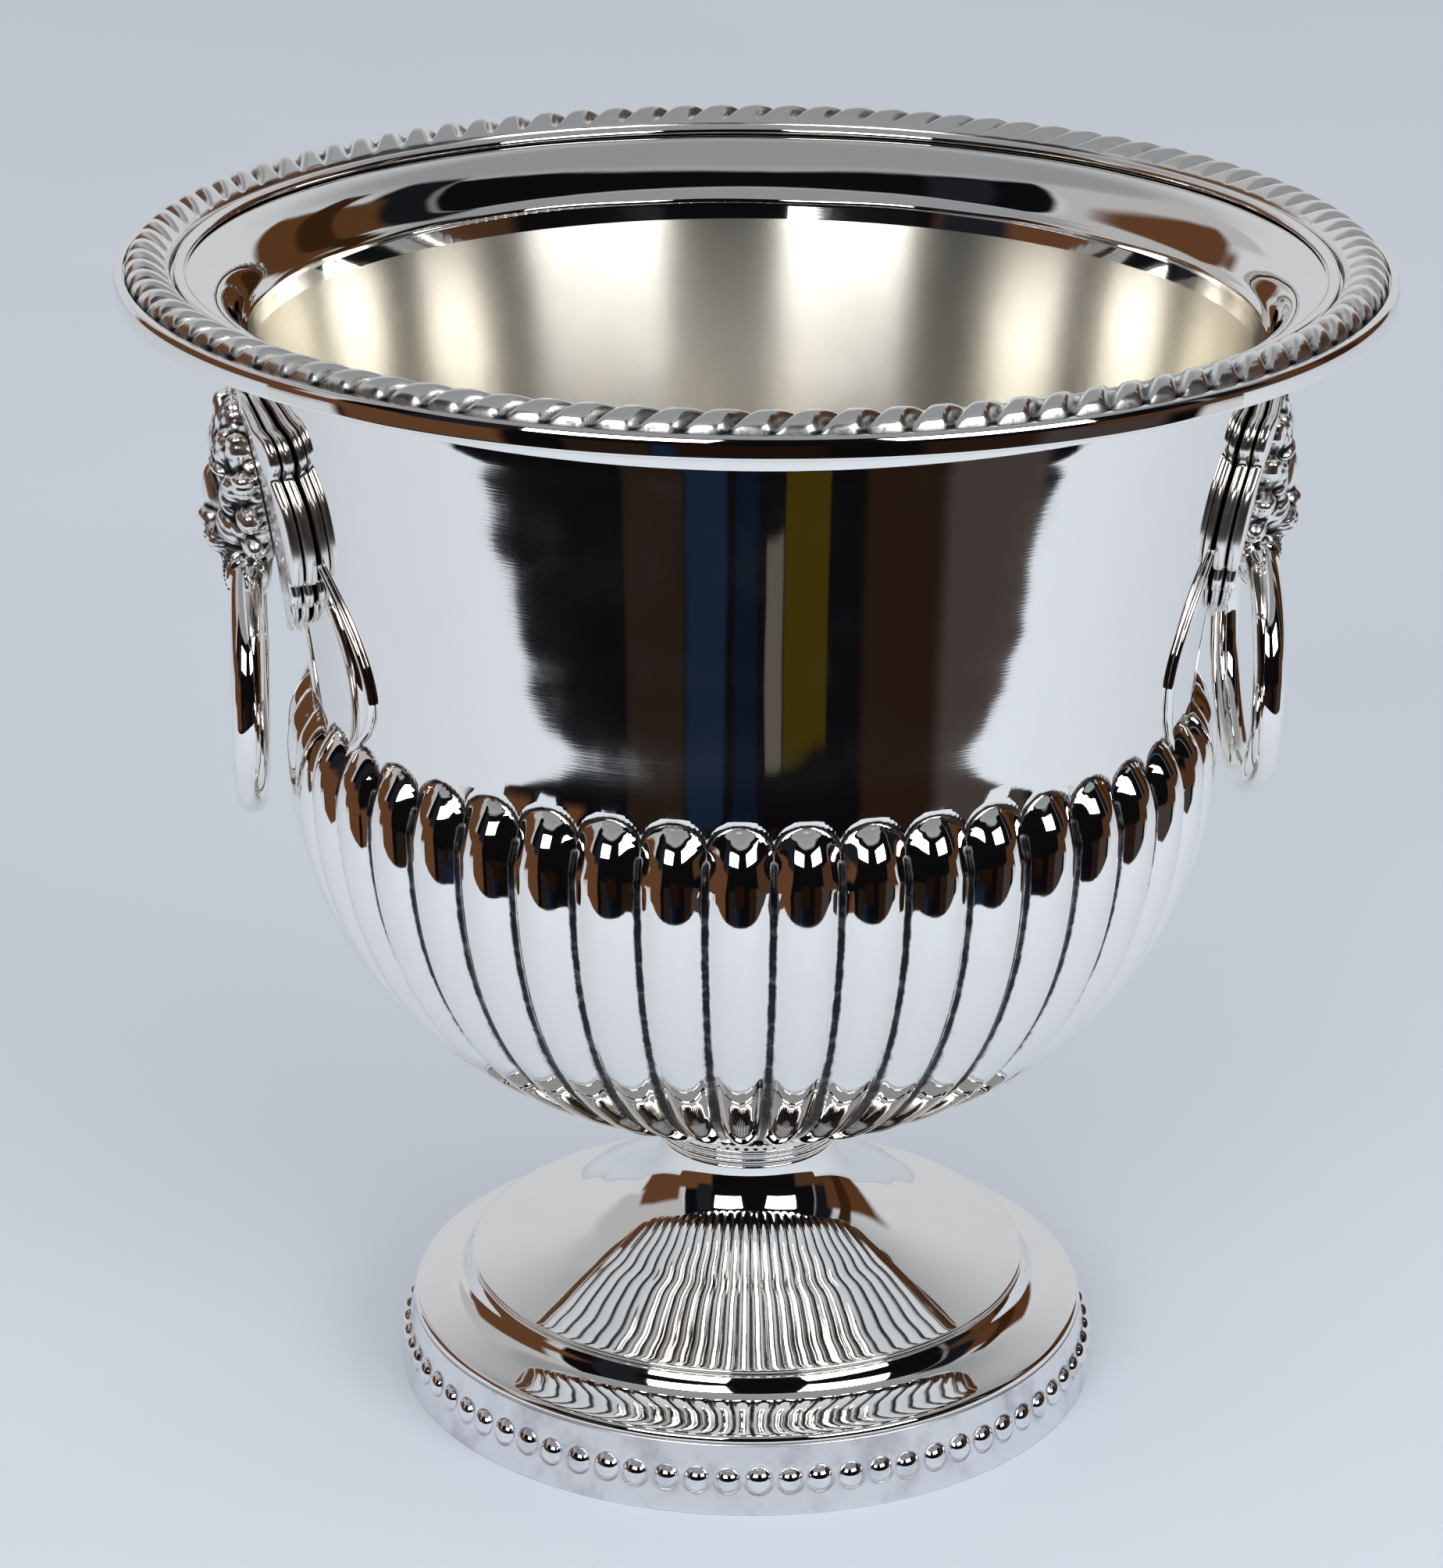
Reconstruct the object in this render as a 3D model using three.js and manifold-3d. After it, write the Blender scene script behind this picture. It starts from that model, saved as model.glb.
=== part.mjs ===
// Silver wine cooler: a fluted bowl on a pedestal foot, with a gadrooned rim and two lion-mask drop rings.
// Millimetres, +Z up. The origin is at the centre of the foot, on the surface that the cooler stands on.
// The drop rings lie on the X axis, right at +X and left at -X.
import * as THREE from 'three';
import { mergeVertices } from 'three/addons/utils/BufferGeometryUtils.js';
import Module from 'manifold-3d';

const wasm = await Module();
wasm.setup();

// ---------- driving dimensions ----------
const GAP = 0.3;                 // clearance between pieces that are soldered or rest on each other
const SHEET = 1.3;               // thickness of the raised and spun sheet

// foot, from the ground up
const BASE_R = 74.5;             // outer radius of the bead band at the ground
const BAND_H = 14.8;             // height of the bead band
const BAND_LEAN = 2.7;           // how much smaller the band is at its top
const BAND_T = 1.6;              // thickness of the bead band
const BEADS = 72;
const BEAD_R = 2.4;
const BEAD_Z = 7.4;
const BEAD_H = 2;                // how far a bead stands out of the band
const BEAD_SINK = 0.8;           // how deep its root lies in the band
const MOULDING_H = 8.6;          // height of the hollow moulding over the band
const LEDGE_H = 1.7;             // height of the ledge at the moulding's outer edge
const LEDGE_SLOPE = 0.22;        // how much the ledge rises towards the disc
const COVE_W = 3.2;              // how far the moulding's steep hollow reaches out from the disc
const DISC_R = 59.1;             // outer edge of the pedestal's disc
const DISC_T = 1;                // thickness of the disc's edge
const PEDESTAL_H = 28.2;         // from the disc's underside up to the collar
const PEDESTAL_POWER = 0.43;     // the trumpet's outline is a hollow superellipse of this power
const DISC_SLOPE = 0.2;          // on a cone that rises this much towards the neck
const NECK_R = 18.6;             // top of the pedestal

// collar
const COLLAR_H = 7.8;
const COLLAR_R = 19.8;

// bowl
const FLUTES = 45;
const BELLY_R = 95.9;            // crest of the flutes at their widest
const BELLY_H = 83.7;            // from the bowl's lowest point up to its widest
const BELLY_POWER = 2.11;        // the bowl's curve is a superellipse of this power
const FLUTE_DEPTH = 0.19;        // depth of a flute, as a share of its width
const FLUTE_RISE = 5.2;          // from the widest level up to the valleys' upper ends
const WAIST_R = 90.7;            // plain wall just above the flutes
const WALL_H = 75;               // from the flutes' arched tops up to the mouth's crease
const WALL_FLARE = 12.1;         // how much the plain wall widens over that height
const FLARE_POWER = 1.58;
const FLARE_H = 10.5;            // height of the turned-over rim above the crease

// rim
const RIM_R = 127.6;             // outer radius of the rim band
const RIM_BAND_T = 2.1;
const RIM_BAND_H = 4.6;
const GADROONS = 98;
const GADROON_W = 9.0;           // radial width of the gadroon border
const GADROON_H = 4.5;
const GADROON_TWIST = 0.55;      // slant of a gadroon from its outer to its inner end, in gadroon widths
const FILLET_W = 2.3;
const FILLET_H = 1.5;

// handles
const PLATE_T = 2.6;             // thickness of each half of the cartouche at its edge
const PLATE_DISH = 1.1;          // thickness of each half in the hollow behind the ring
const PLATE_OVER_VALLEYS = 17.3; // from the valleys' upper ends up to the cartouche's lower tip
const PLATE_SPARE = 19.5;        // how much shorter the cartouche is than the plain wall
const PLATE_W = 37.5;            // half of the cartouche's greatest width
const HEAD_W = 18.5;             // half of the lion head's width
const HEAD_SPARE = 19.5;         // how much lower the lion head is than the cartouche
const PIVOT_OUT = 12.1;          // how far the ring's pivot bar stands out of the waist
const PIVOT_UP = 15.1;           // and how high it lies over the cartouche's tip
const RING_R = 25.6;             // middle radius of the ring
const RING_TUBE = 3.3;           // radius of the ring's round bar
const BAR_R = 2.2;               // radius of the straight pivot bar
const BAR_HALF = 8.2;            // half of the pivot bar's length, collar to collar
const COLLAR_SWELL = 0.9;        // how far the ring's collars stand out of its bar
const BORE_GAP = 0.5;            // running clearance of the bar in the jaw
const SIDE_GAP = 0.6;            // clearance between the jaw and the ring's collars
const WIRE_W = 0.9;              // half of the arch wire's width
const WIRE_H = 1.0;              // how far the arch wire stands out of the wall
const WIRE_FOOT = 0.8;           // how much its foot is lifted over the flutes' arched tops

// ---------- levels that follow ----------
const MOULDING_Z = BAND_H + GAP;
const DISC_Z = MOULDING_Z + MOULDING_H + GAP;
const COLLAR_Z = DISC_Z + PEDESTAL_H;
const BOWL_Z = COLLAR_Z + COLLAR_H + GAP;
const BELLY_Z = BOWL_Z + BELLY_H;
const VALLEY_Z = BELLY_Z + FLUTE_RISE;
const PITCH = (2 * Math.PI) / FLUTES;
const ARCH_Z = VALLEY_Z + (PITCH * WAIST_R) / 2;
const CREASE_Z = ARCH_Z + WALL_H;
const CREASE_R = WAIST_R + WALL_FLARE;
const RIM_Z = CREASE_Z + FLARE_H;
const SHEET_EDGE_R = RIM_R - RIM_BAND_T - GAP;
const PLATE_BOTTOM = VALLEY_Z + PLATE_OVER_VALLEYS;
const PLATE_H = WALL_H - PLATE_SPARE;
const HEAD_H = PLATE_H - HEAD_SPARE;
const PIVOT_R = WAIST_R + PIVOT_OUT;
const PIVOT_Z = PLATE_BOTTOM + PIVOT_UP;

// ---------- small tools ----------
const silver = (name, geometry, color = '#d9dadb', roughness = 0.12) => {
  const material = new THREE.MeshStandardMaterial({ color, roughness, metalness: 1 });
  const mesh = new THREE.Mesh(geometry, material);
  mesh.name = name;
  return mesh;
};

// Welds a geometry down to shared positions and turns its faces outward.
function solid(geometry) {
  const bare = geometry.clone();
  for (const name of Object.keys(bare.attributes)) {
    if (name !== 'position') bare.deleteAttribute(name);
  }
  const welded = mergeVertices(bare, 1e-4);
  const p = welded.attributes.position;
  const index = Array.from(welded.index.array);
  const kept = [];
  let volume = 0;
  const [a, b, c] = [new THREE.Vector3(), new THREE.Vector3(), new THREE.Vector3()];
  for (let i = 0; i < index.length; i += 3) {
    const [u, v, w] = index.slice(i, i + 3);
    if (u === v || v === w || w === u) continue;
    kept.push(u, v, w);
    a.fromBufferAttribute(p, u);
    b.fromBufferAttribute(p, v);
    c.fromBufferAttribute(p, w);
    volume += a.dot(b.cross(c));
  }
  if (volume < 0) {
    for (let i = 0; i < kept.length; i += 3) [kept[i], kept[i + 1]] = [kept[i + 1], kept[i]];
  }
  welded.setIndex(kept);
  return welded;
}

const toManifold = (geometry) => {
  const g = solid(geometry);
  const vertProperties = new Float32Array(g.attributes.position.array);
  const triVerts = new Uint32Array(g.index.array);
  return new wasm.Manifold(new wasm.Mesh({ numProp: 3, vertProperties, triVerts }));
};

const fromManifold = (manifold) => {
  const mesh = manifold.getMesh();
  const g = new THREE.BufferGeometry();
  g.setAttribute('position', new THREE.BufferAttribute(new Float32Array(mesh.vertProperties), 3));
  g.setIndex(Array.from(mesh.triVerts));
  return g;
};

// Joins overlapping solids, and fills any hollow sealed between them.
function join(geometries) {
  const sum = geometries.map(toManifold).reduce((whole, part) => whole.add(part));
  return sum.decompose().reduce((a, b) => (a.volume() > b.volume() ? a : b));
}

// An outline of { r, z } points moved to its left by a thickness.
function thinned(outline, thickness) {
  return outline.map((point, k) => {
    const before = outline[Math.max(0, k - 1)];
    const after = outline[Math.min(outline.length - 1, k + 1)];
    const along = new THREE.Vector2(after.r - before.r, after.z - before.z).normalize();
    return { ...point, r: point.r - thickness * along.y, z: point.z + thickness * along.x };
  });
}

// A surface of revolution about Z. The profile is a list of [radius, height] that closes on itself or on the axis.
function lathe(profile, segments) {
  const ends = [profile[0], profile[profile.length - 1]];
  const points = profile.map(([r, z]) => new THREE.Vector2(r, z));
  if (ends.some(([r]) => r > 0)) points.push(points[0].clone());
  return new THREE.LatheGeometry(points, segments).rotateX(Math.PI / 2);
}

const turned = (profile, segments) => solid(lathe(profile, segments));

// A closed band: rows of points around a ring, each row the same closed section.
function band(rows, sides, place) {
  const position = [];
  const index = [];
  for (let i = 0; i < rows; i += 1) {
    for (let j = 0; j < sides; j += 1) position.push(...place(i / rows, j));
  }
  for (let i = 0; i < rows; i += 1) {
    for (let j = 0; j < sides; j += 1) {
      const [i1, j1] = [(i + 1) % rows, (j + 1) % sides];
      const [a, b, c, d] = [i * sides + j, i1 * sides + j, i1 * sides + j1, i * sides + j1];
      index.push(a, b, c, a, c, d);
    }
  }
  const g = new THREE.BufferGeometry();
  g.setAttribute('position', new THREE.Float32BufferAttribute(position, 3));
  g.setIndex(index);
  return solid(g);
}

// A closed slab: a grid of points on its front and the same grid on its back, joined around the edge.
function slab(rows, columns, front, back) {
  const position = [];
  const index = [];
  const width = columns + 1;
  const count = (rows + 1) * width;
  for (const side of [front, back]) {
    for (let i = 0; i <= rows; i += 1) {
      for (let j = 0; j <= columns; j += 1) position.push(...side(i / rows, j / columns));
    }
  }
  const quad = (a, b, c, d) => index.push(a, b, c, a, c, d);
  for (let i = 0; i < rows; i += 1) {
    for (let j = 0; j < columns; j += 1) {
      const a = i * width + j;
      quad(a, a + 1, a + 1 + width, a + width);
      quad(count + a, count + a + width, count + a + 1 + width, count + a + 1);
    }
  }
  const edge = [];
  for (let j = 0; j < columns; j += 1) edge.push(j);
  for (let i = 0; i < rows; i += 1) edge.push(i * width + columns);
  for (let j = columns; j > 0; j -= 1) edge.push(rows * width + j);
  for (let i = rows; i > 0; i -= 1) edge.push(i * width);
  edge.forEach((a, k) => {
    const b = edge[(k + 1) % edge.length];
    quad(a, count + a, count + b, b);
  });
  const g = new THREE.BufferGeometry();
  g.setAttribute('position', new THREE.Float32BufferAttribute(position, 3));
  g.setIndex(index);
  return solid(g);
}

const onSide = (right, object) => {
  if (!right) object.rotation.z = Math.PI;
  return object;
};

// ---------- bowl ----------
// Radius of the flutes' crests below the widest level.
const crestRadius = (z) => {
  const depth = Math.min(1, Math.max(0, (BELLY_Z - z) / BELLY_H));
  return BELLY_R * (1 - depth ** BELLY_POWER) ** (1 / BELLY_POWER);
};

// Outer radius of the plain wall above the flutes, up to the crease.
const wallRadius = (z) => {
  const t = Math.min(1, Math.max(0, (z - VALLEY_Z) / (CREASE_Z - VALLEY_Z)));
  return WAIST_R + WALL_FLARE * t ** FLARE_POWER;
};

const fluteDepth = (r) => FLUTE_DEPTH * PITCH * r;

// Outer skin of the bowl as rows of { r, z, flute }: r is at the valleys, flute is how full the flutes are.
function bowlRows() {
  const rows = [{ r: 0, z: BOWL_Z, flute: 0 }];
  const belly = [0.16, 0.34, 0.52, 0.7, 0.86, 1];
  belly.forEach((share, k) => {
    const angle = (share * Math.PI) / 2;
    const z = BELLY_Z - BELLY_H * Math.cos(angle) ** (2 / BELLY_POWER);
    const flute = k === 0 ? 0 : 1;
    const crest = share === 1 ? BELLY_R : crestRadius(z);
    rows.push({ r: crest - flute * fluteDepth(crest), z, flute });
  });
  rows.push({ r: (WAIST_R + BELLY_R) / 2 - fluteDepth(BELLY_R) / 2, z: VALLEY_Z, flute: 0.9 });
  rows.push({ r: wallRadius(ARCH_Z), z: ARCH_Z, flute: 0 });
  for (const share of [0.5, 1]) {
    const z = ARCH_Z + share * WALL_H;
    rows.push({ r: wallRadius(z), z, flute: 0 });
  }
  for (const share of [0.5, 1]) {
    const angle = (share * Math.PI) / 2;
    const r = CREASE_R + (SHEET_EDGE_R - CREASE_R) * (1 - Math.cos(angle));
    rows.push({ r, z: CREASE_Z + FLARE_H * Math.sin(angle), flute: 0 });
  }
  return rows;
}

// A closed bell under the rows, in turned steps: the flutes swell it out from row to row. A crest lies at +X.
function bell(rows, steps, cap) {
  const all = [...rows, ...cap];
  const shell = lathe(all.map(({ r, z }) => [r, z]), steps);
  const p = shell.attributes.position;
  for (let k = 0; k < p.count; k += 1) {
    const { flute } = all[k % all.length];
    const [x, y] = [p.getX(k), p.getY(k)];
    const radius = Math.hypot(x, y);
    if (radius > 1 && flute > 0) {
      const u = Math.atan2(y, x) / PITCH;
      const lobe = Math.abs(Math.sin(u * Math.PI)) ** 0.6;
      const scale = (radius + flute * fluteDepth(radius) * lobe) / radius;
      p.setXY(k, x * scale, y * scale);
    }
  }
  return toManifold(shell.rotateZ(PITCH / 2));
}

// Takes out of a handle's piece what lies within the clearance of the bowl's outside on its own side.
const clearOfBowl = (geometry, right) => {
  const rows = bowlRows().map((row) => ({ ...row, r: row.r > 0 ? row.r + GAP : 0 }));
  const lid = [{ r: 0, z: RIM_Z, flute: 0 }];
  const wall = bell(rows, FLUTES * 3, lid).rotate([0, 0, right ? 0 : 180]);
  return fromManifold(toManifold(geometry).subtract(wall));
};

// The bowl is the outer bell less the inner one, which is moved in by the sheet's thickness.
function bowlGeometry() {
  const outer = bowlRows();
  const inner = thinned(outer, SHEET);
  inner[0] = { r: 0, z: outer[0].z + SHEET, flute: 0 };
  const top = RIM_Z + SHEET;
  const over = top + SHEET;
  inner[inner.length - 1] = { r: SHEET_EDGE_R, z: top, flute: 0 };
  const lid = [{ r: SHEET_EDGE_R, z: over, flute: 0 }, { r: 0, z: over, flute: 0 }];
  const air = [{ r: RIM_R, z: top, flute: 0 }, { r: RIM_R, z: over + SHEET, flute: 0 },
    { r: 0, z: over + SHEET, flute: 0 }];
  return fromManifold(bell(outer, FLUTES * 3, lid).subtract(bell(inner, FLUTES * 2, air)));
}

// ---------- rim ----------
const rimBand = () => {
  const [inner, low] = [RIM_R - RIM_BAND_T, RIM_Z - 1.8];
  const top = low + RIM_BAND_H;
  return turned([[inner, low], [RIM_R, low], [RIM_R, top - 1.1], [RIM_R - 0.7, top - 0.2],
    [inner, top]], 60);
};

function gadroonBorder() {
  const middle = SHEET_EDGE_R - GADROON_W / 2;
  const base = RIM_Z + SHEET + GAP;
  const section = [[-0.5, 0], [0.5, 0], [0.5, 0.32], [0.2, 1], [-0.5, 0.35]];
  const steps = 2;
  return band(GADROONS * steps, section.length, (share, j) => {
    const [across, up] = section[j];
    const angle = share * 2 * Math.PI - (across * GADROON_TWIST * 2 * Math.PI) / GADROONS;
    const phase = share * GADROONS * Math.PI;
    const swell = up > 0 ? 0.62 + 0.38 * Math.abs(Math.sin(phase)) ** 0.5 : 0;
    const r = middle + across * GADROON_W;
    return [r * Math.cos(angle), r * Math.sin(angle), base + up * swell * GADROON_H];
  });
}

const rimFillet = () => {
  const outer = SHEET_EDGE_R - GADROON_W - GAP;
  const base = RIM_Z + SHEET + GAP;
  return turned([[outer - FILLET_W, base - 0.1], [outer, base], [outer, base + FILLET_H * 0.5],
    [outer - FILLET_W / 2, base + FILLET_H]], 60);
};

// ---------- foot ----------
function beadBand() {
  const lean = BAND_LEAN / BAND_H;
  const top = BASE_R - BAND_LEAN;
  const body = turned([[BASE_R - BAND_T - 0.6, 0], [BASE_R, 0], [top, BAND_H], [top - BAND_T, BAND_H],
    [BASE_R - BAND_T - 0.6 - lean * 2, 2]], BEADS);
  const stud = turned([[0, -BEAD_SINK], [BEAD_R, -BEAD_SINK], [BEAD_R * 0.8, BEAD_H * 0.65], [0, BEAD_H]], 5);
  stud.rotateY(Math.PI / 2 - Math.atan(lean)).translate(BASE_R - lean * BEAD_Z, 0, BEAD_Z);
  let sum = toManifold(body);
  for (let k = 0; k < BEADS; k += 1) {
    const angle = ((k + 0.5) * 2 * Math.PI) / BEADS;
    sum = sum.add(toManifold(stud.clone().rotateZ(angle)));
  }
  return fromManifold(sum);
}

// The moulding's upper face: a steep hollow under the disc, then a gentle ledge out to the bead band.
function baseMoulding() {
  const foot = BASE_R - BAND_LEAN;
  const top = MOULDING_Z + MOULDING_H;
  const seat = DISC_R - 5;
  const ledge = MOULDING_Z + LEDGE_H;
  const coveFoot = ledge + LEDGE_SLOPE * (foot - DISC_R - COVE_W);
  const face = [[foot, MOULDING_Z], [foot, ledge - 0.8], [foot - 0.9, ledge], [DISC_R + COVE_W + 2, coveFoot - 0.4],
    [DISC_R + COVE_W, coveFoot + 0.3], [DISC_R + COVE_W / 2, (coveFoot + top) / 2 - 0.6], [DISC_R + 0.2, top - 0.6],
    [DISC_R - 0.4, top]];
  const inner = [[DISC_R - 1, top - SHEET - 0.8], [DISC_R + COVE_W - 1.2, coveFoot - SHEET],
    [foot - 2.4, ledge - SHEET], [foot - SHEET, MOULDING_Z]];
  return turned([...face, [seat, top], [seat, top - SHEET], ...inner], 48);
}

// The trumpet's outline, from the collar at share 0 down to the disc's edge at share 1.
const trumpet = (share) => {
  const turn = (share * Math.PI) / 2;
  const power = 2 / PEDESTAL_POWER;
  const r = NECK_R + (DISC_R - NECK_R) * Math.sin(turn) ** power;
  const coneTop = DISC_SLOPE * (DISC_R - NECK_R);
  const trumpetTop = PEDESTAL_H - GAP - DISC_T - coneTop;
  const z = DISC_Z + DISC_T + DISC_SLOPE * (DISC_R - r) + trumpetTop * Math.max(0, Math.cos(turn)) ** power;
  return { r, z };
};

function pedestal() {
  const outer = [0, 0.24, 0.38, 0.5, 0.62, 0.78, 1].map(trumpet);
  const inner = thinned(outer, -SHEET);
  inner[0] = { r: NECK_R - SHEET, z: outer[0].z };
  inner[inner.length - 1] = { r: DISC_R, z: DISC_Z };
  return turned([...outer, ...inner.reverse()].map(({ r, z }) => [r, z]), 40);
}

const neckCollar = () => {
  const [low, high] = [COLLAR_Z, COLLAR_Z + COLLAR_H];
  return turned([[0, low], [COLLAR_R, low], [COLLAR_R, low + 1.9], [COLLAR_R - 0.7, low + 2.1],
    [COLLAR_R - 0.3, low + 3.3], [COLLAR_R - 1.6, low + 4], [COLLAR_R - 2.6, high - 0.6], [10, high],
    [0, high]], 40);
};

// ---------- handles, drawn on the right-hand side ----------
// The cartouche's outline: half width at a height, as lobes cut by small clefts.
const LOBES = [[0, 0.06], [0.06, 0.3], [0.13, 0.56], [0.22, 0.76], [0.33, 0.82], [0.36, 0.88], [0.5, 1],
  [0.66, 1], [0.77, 0.9], [0.81, 0.86], [0.9, 0.9], [0.95, 0.62], [0.985, 0.3], [1, 0.16]];

const plateHalf = (t) => {
  const k = Math.max(1, LOBES.findIndex(([height]) => height >= t));
  const [[t0, w0], [t1, w1]] = [LOBES[k - 1], LOBES[k]];
  return PLATE_W * (w0 + ((w1 - w0) * (t - t0)) / (t1 - t0));
};

// A point that lies at a height and a distance along the wall from the handle's middle, lifted off the wall.
const onWall = (along, z, lift) => {
  const wall = wallRadius(z);
  const angle = along / wall;
  return [(wall + lift) * Math.cos(angle), (wall + lift) * Math.sin(angle), z];
};

// Thickness of one half of the cartouche: full at the edge and dished behind the ring.
const plateThickness = (t, u) => {
  const edge = PLATE_T - 0.8 * Math.max(0, 1 - t / 0.4);
  return PLATE_DISH + (edge - PLATE_DISH) * (2 * u - 1) ** 2;
};

// A piece of the cartouche between two faces, each given as { halves, gap }: how many halves lie under it,
// and how much clearance.
function plateLayer(low, high) {
  const levels = LOBES.map(([t]) => t);
  const rows = levels.length - 1;
  const face = ({ halves, gap }) => (s, u) => {
    const t = levels[Math.round(s * rows)];
    const along = plateHalf(t) * (2 * u - 1);
    return onWall(along, PLATE_BOTTOM + t * PLATE_H, halves * plateThickness(t, u) + gap);
  };
  return slab(rows, 6, face(high), face(low));
}

// Lion head: mane, brow, cheeks, muzzle and jaw as joined masses, cut to the cartouche and bored for the ring.
function lionHead() {
  const mid = PIVOT_Z + HEAD_H / 2;
  const seat = wallRadius(mid) + 2 * PLATE_DISH + 3 * GAP;
  const lean = (wallRadius(mid + 10) - wallRadius(mid - 10)) / 20;
  const alongWall = new THREE.Matrix4().makeShear(0, 0, 0, 0, lean, 0);
  const mass = (out, along, up, rx, ry, rz, sides = 6) => {
    const ball = new THREE.SphereGeometry(1, sides, sides - 1).rotateX(Math.PI / 2).scale(rx, ry, rz);
    return ball.translate(out, along, up).applyMatrix4(alongWall).translate(seat, 0, mid);
  };
  const masses = [
    mass(1.5, 0, 0, 6.5, HEAD_W, HEAD_H / 2, 12),
    mass(4, 0, 2, 6, 10, 13, 8),
    mass(7.5, 0, -4, 6, 4.6, 7.5),
    mass(11.4, 0, -10.3, 3.8, 4.8, 3.2),
    mass(8, 0, -15, 5, 5.5, 3),
  ];
  for (const side of [-1, 1]) {
    masses.push(mass(9, side * 4.2, -12.5, 5, 4.2, 4.4));
    masses.push(mass(6.5, side * 6, 4, 4.5, 4.8, 3.6));
    masses.push(mass(2.5, side * 12.4, -5, 5.5, 4.6, 8));
  }
  const jawHalf = BAR_HALF - SIDE_GAP;
  const bored = BAR_R + BORE_GAP;
  const lug = new THREE.CylinderGeometry(bored + 2.4, bored + 2.4, 2 * jawHalf, 14).scale(1, 1, 1.6);
  const bore = new THREE.CylinderGeometry(bored, bored, 60, 14);
  for (const pin of [lug, bore]) pin.translate(PIVOT_R, 0, PIVOT_Z);
  // the ring's collars and shoulders swing clear of the cheeks in this slot
  const swing = RING_TUBE + COLLAR_SWELL + SIDE_GAP;
  let head = join([...masses, lug]);
  for (const side of [-1, 1]) {
    const slot = new THREE.CylinderGeometry(swing, swing, 14, 14);
    slot.translate(PIVOT_R, side * (jawHalf + 7), PIVOT_Z);
    head = head.subtract(toManifold(slot));
  }
  const behind = plateLayer({ halves: 0, gap: -40 }, { halves: 2, gap: 3 * GAP });
  return fromManifold(head.subtract(toManifold(behind)).subtract(toManifold(bore)));
}

// Drop ring: a round bar bent to a ring, with a collar at each end and a thinner straight bar between them.
function dropRing() {
  const open = Math.asin(BAR_HALF / RING_R);
  const centreZ = PIVOT_Z - RING_R * Math.cos(open);
  const stations = [];
  const arc = 24;
  const full = 2 * Math.PI;
  const collar = RING_TUBE + COLLAR_SWELL;
  const at = (turn, radius, tilt = turn) => stations.push({
    y: RING_R * Math.sin(turn), z: centreZ + RING_R * Math.cos(turn), tilt, radius });
  at(open, collar, 0);
  at(open + 0.09, collar, open / 2);
  for (let k = 0; k <= arc; k += 1) at(open + 0.13 + ((full - 2 * open - 0.26) * k) / arc, RING_TUBE);
  at(full - open - 0.09, collar, full - open / 2);
  at(full - open, collar, full);
  stations.push({ y: -BAR_HALF, z: PIVOT_Z, tilt: full, radius: BAR_R });
  stations.push({ y: BAR_HALF, z: PIVOT_Z, tilt: full, radius: BAR_R });
  const sides = 8;
  return band(stations.length, sides, (share, j) => {
    const s = stations[Math.round(share * stations.length)];
    const round = (j * 2 * Math.PI) / sides;
    const outward = s.radius * Math.cos(round);
    const across = PIVOT_R + s.radius * Math.sin(round);
    return [across, s.y + outward * Math.sin(s.tilt), s.z + outward * Math.cos(s.tilt)];
  });
}

// Arch wire: from the cartouche's edge out and down the wall to the valley between two flutes.
// The flutes are odd in number, so the nearest valleys aren't the same distance from both handles.
function wirePath(right) {
  const foot = (right ? 3.5 : 3) * PITCH * WAIST_R;
  const shoulder = PLATE_W + 12.7;
  const beside = [[0.7, 25.3], [5.1, 21], [9.3, 15.5], [12.8, 8.5], [13.7, 2.5], [12.7, -2]];
  const below = [[0.62, 11.2], [0.3, 8.2], [0.05, 5.4], [0, 2.8]];
  const points = [
    ...beside.map(([out, up]) => [PLATE_W + out, PLATE_BOTTOM + up]),
    ...below.map(([share, up]) => [foot + (shoulder - foot) * share, VALLEY_Z + up]),
  ];
  return new THREE.CatmullRomCurve3(points.map(([along, z]) => new THREE.Vector3(along, z, 0)));
}

function archWire(side, right) {
  const path = wirePath(right);
  const rows = 10;
  const section = [[-1, 0], [-0.6, 0.8], [0, 1], [0.6, 0.8], [1, 0]];
  const strip = (s, u) => {
    const middle = path.getPointAt(s);
    const tangent = path.getTangentAt(s);
    const taper = 0.35 + 0.65 * Math.sin(Math.PI * Math.min(0.97, s + 0.12)) ** 0.5;
    return { middle, tangent, taper, u };
  };
  const place = (lifted) => (s, u) => {
    const { middle, tangent, taper } = strip(s, u);
    const [across, up] = section[Math.round(u * (section.length - 1))];
    const along = middle.x + across * WIRE_W * taper * tangent.y;
    const z = middle.y - across * WIRE_W * taper * tangent.x;
    const foot = WIRE_FOOT * Math.max(0, (s - 0.75) / 0.25);
    const lift = foot + (lifted ? GAP + 0.25 + up * WIRE_H * taper : -GAP);
    return onWall(side * along, z, lift);
  };
  return clearOfBowl(slab(rows, section.length - 1, place(true), place(false)), right);
}

function handle(side, right) {
  const group = new THREE.Group();
  const backing = clearOfBowl(plateLayer({ halves: 0, gap: -GAP }, { halves: 1, gap: GAP }), right);
  const plate = plateLayer({ halves: 1, gap: 2 * GAP }, { halves: 2, gap: 2 * GAP });
  group.add(silver(`${side}_mask_backing`, backing));
  group.add(silver(`${side}_mask_plate`, plate));
  group.add(silver(`${side}_lion_head`, lionHead(), '#b9babc', 0.25));
  group.add(silver(`${side}_drop_ring`, dropRing()));
  const ahead = right ? -1 : 1;
  group.add(silver(`${side}_front_arch_wire`, archWire(ahead, right)));
  group.add(silver(`${side}_rear_arch_wire`, archWire(-ahead, right)));
  return onSide(right, group);
}

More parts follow.
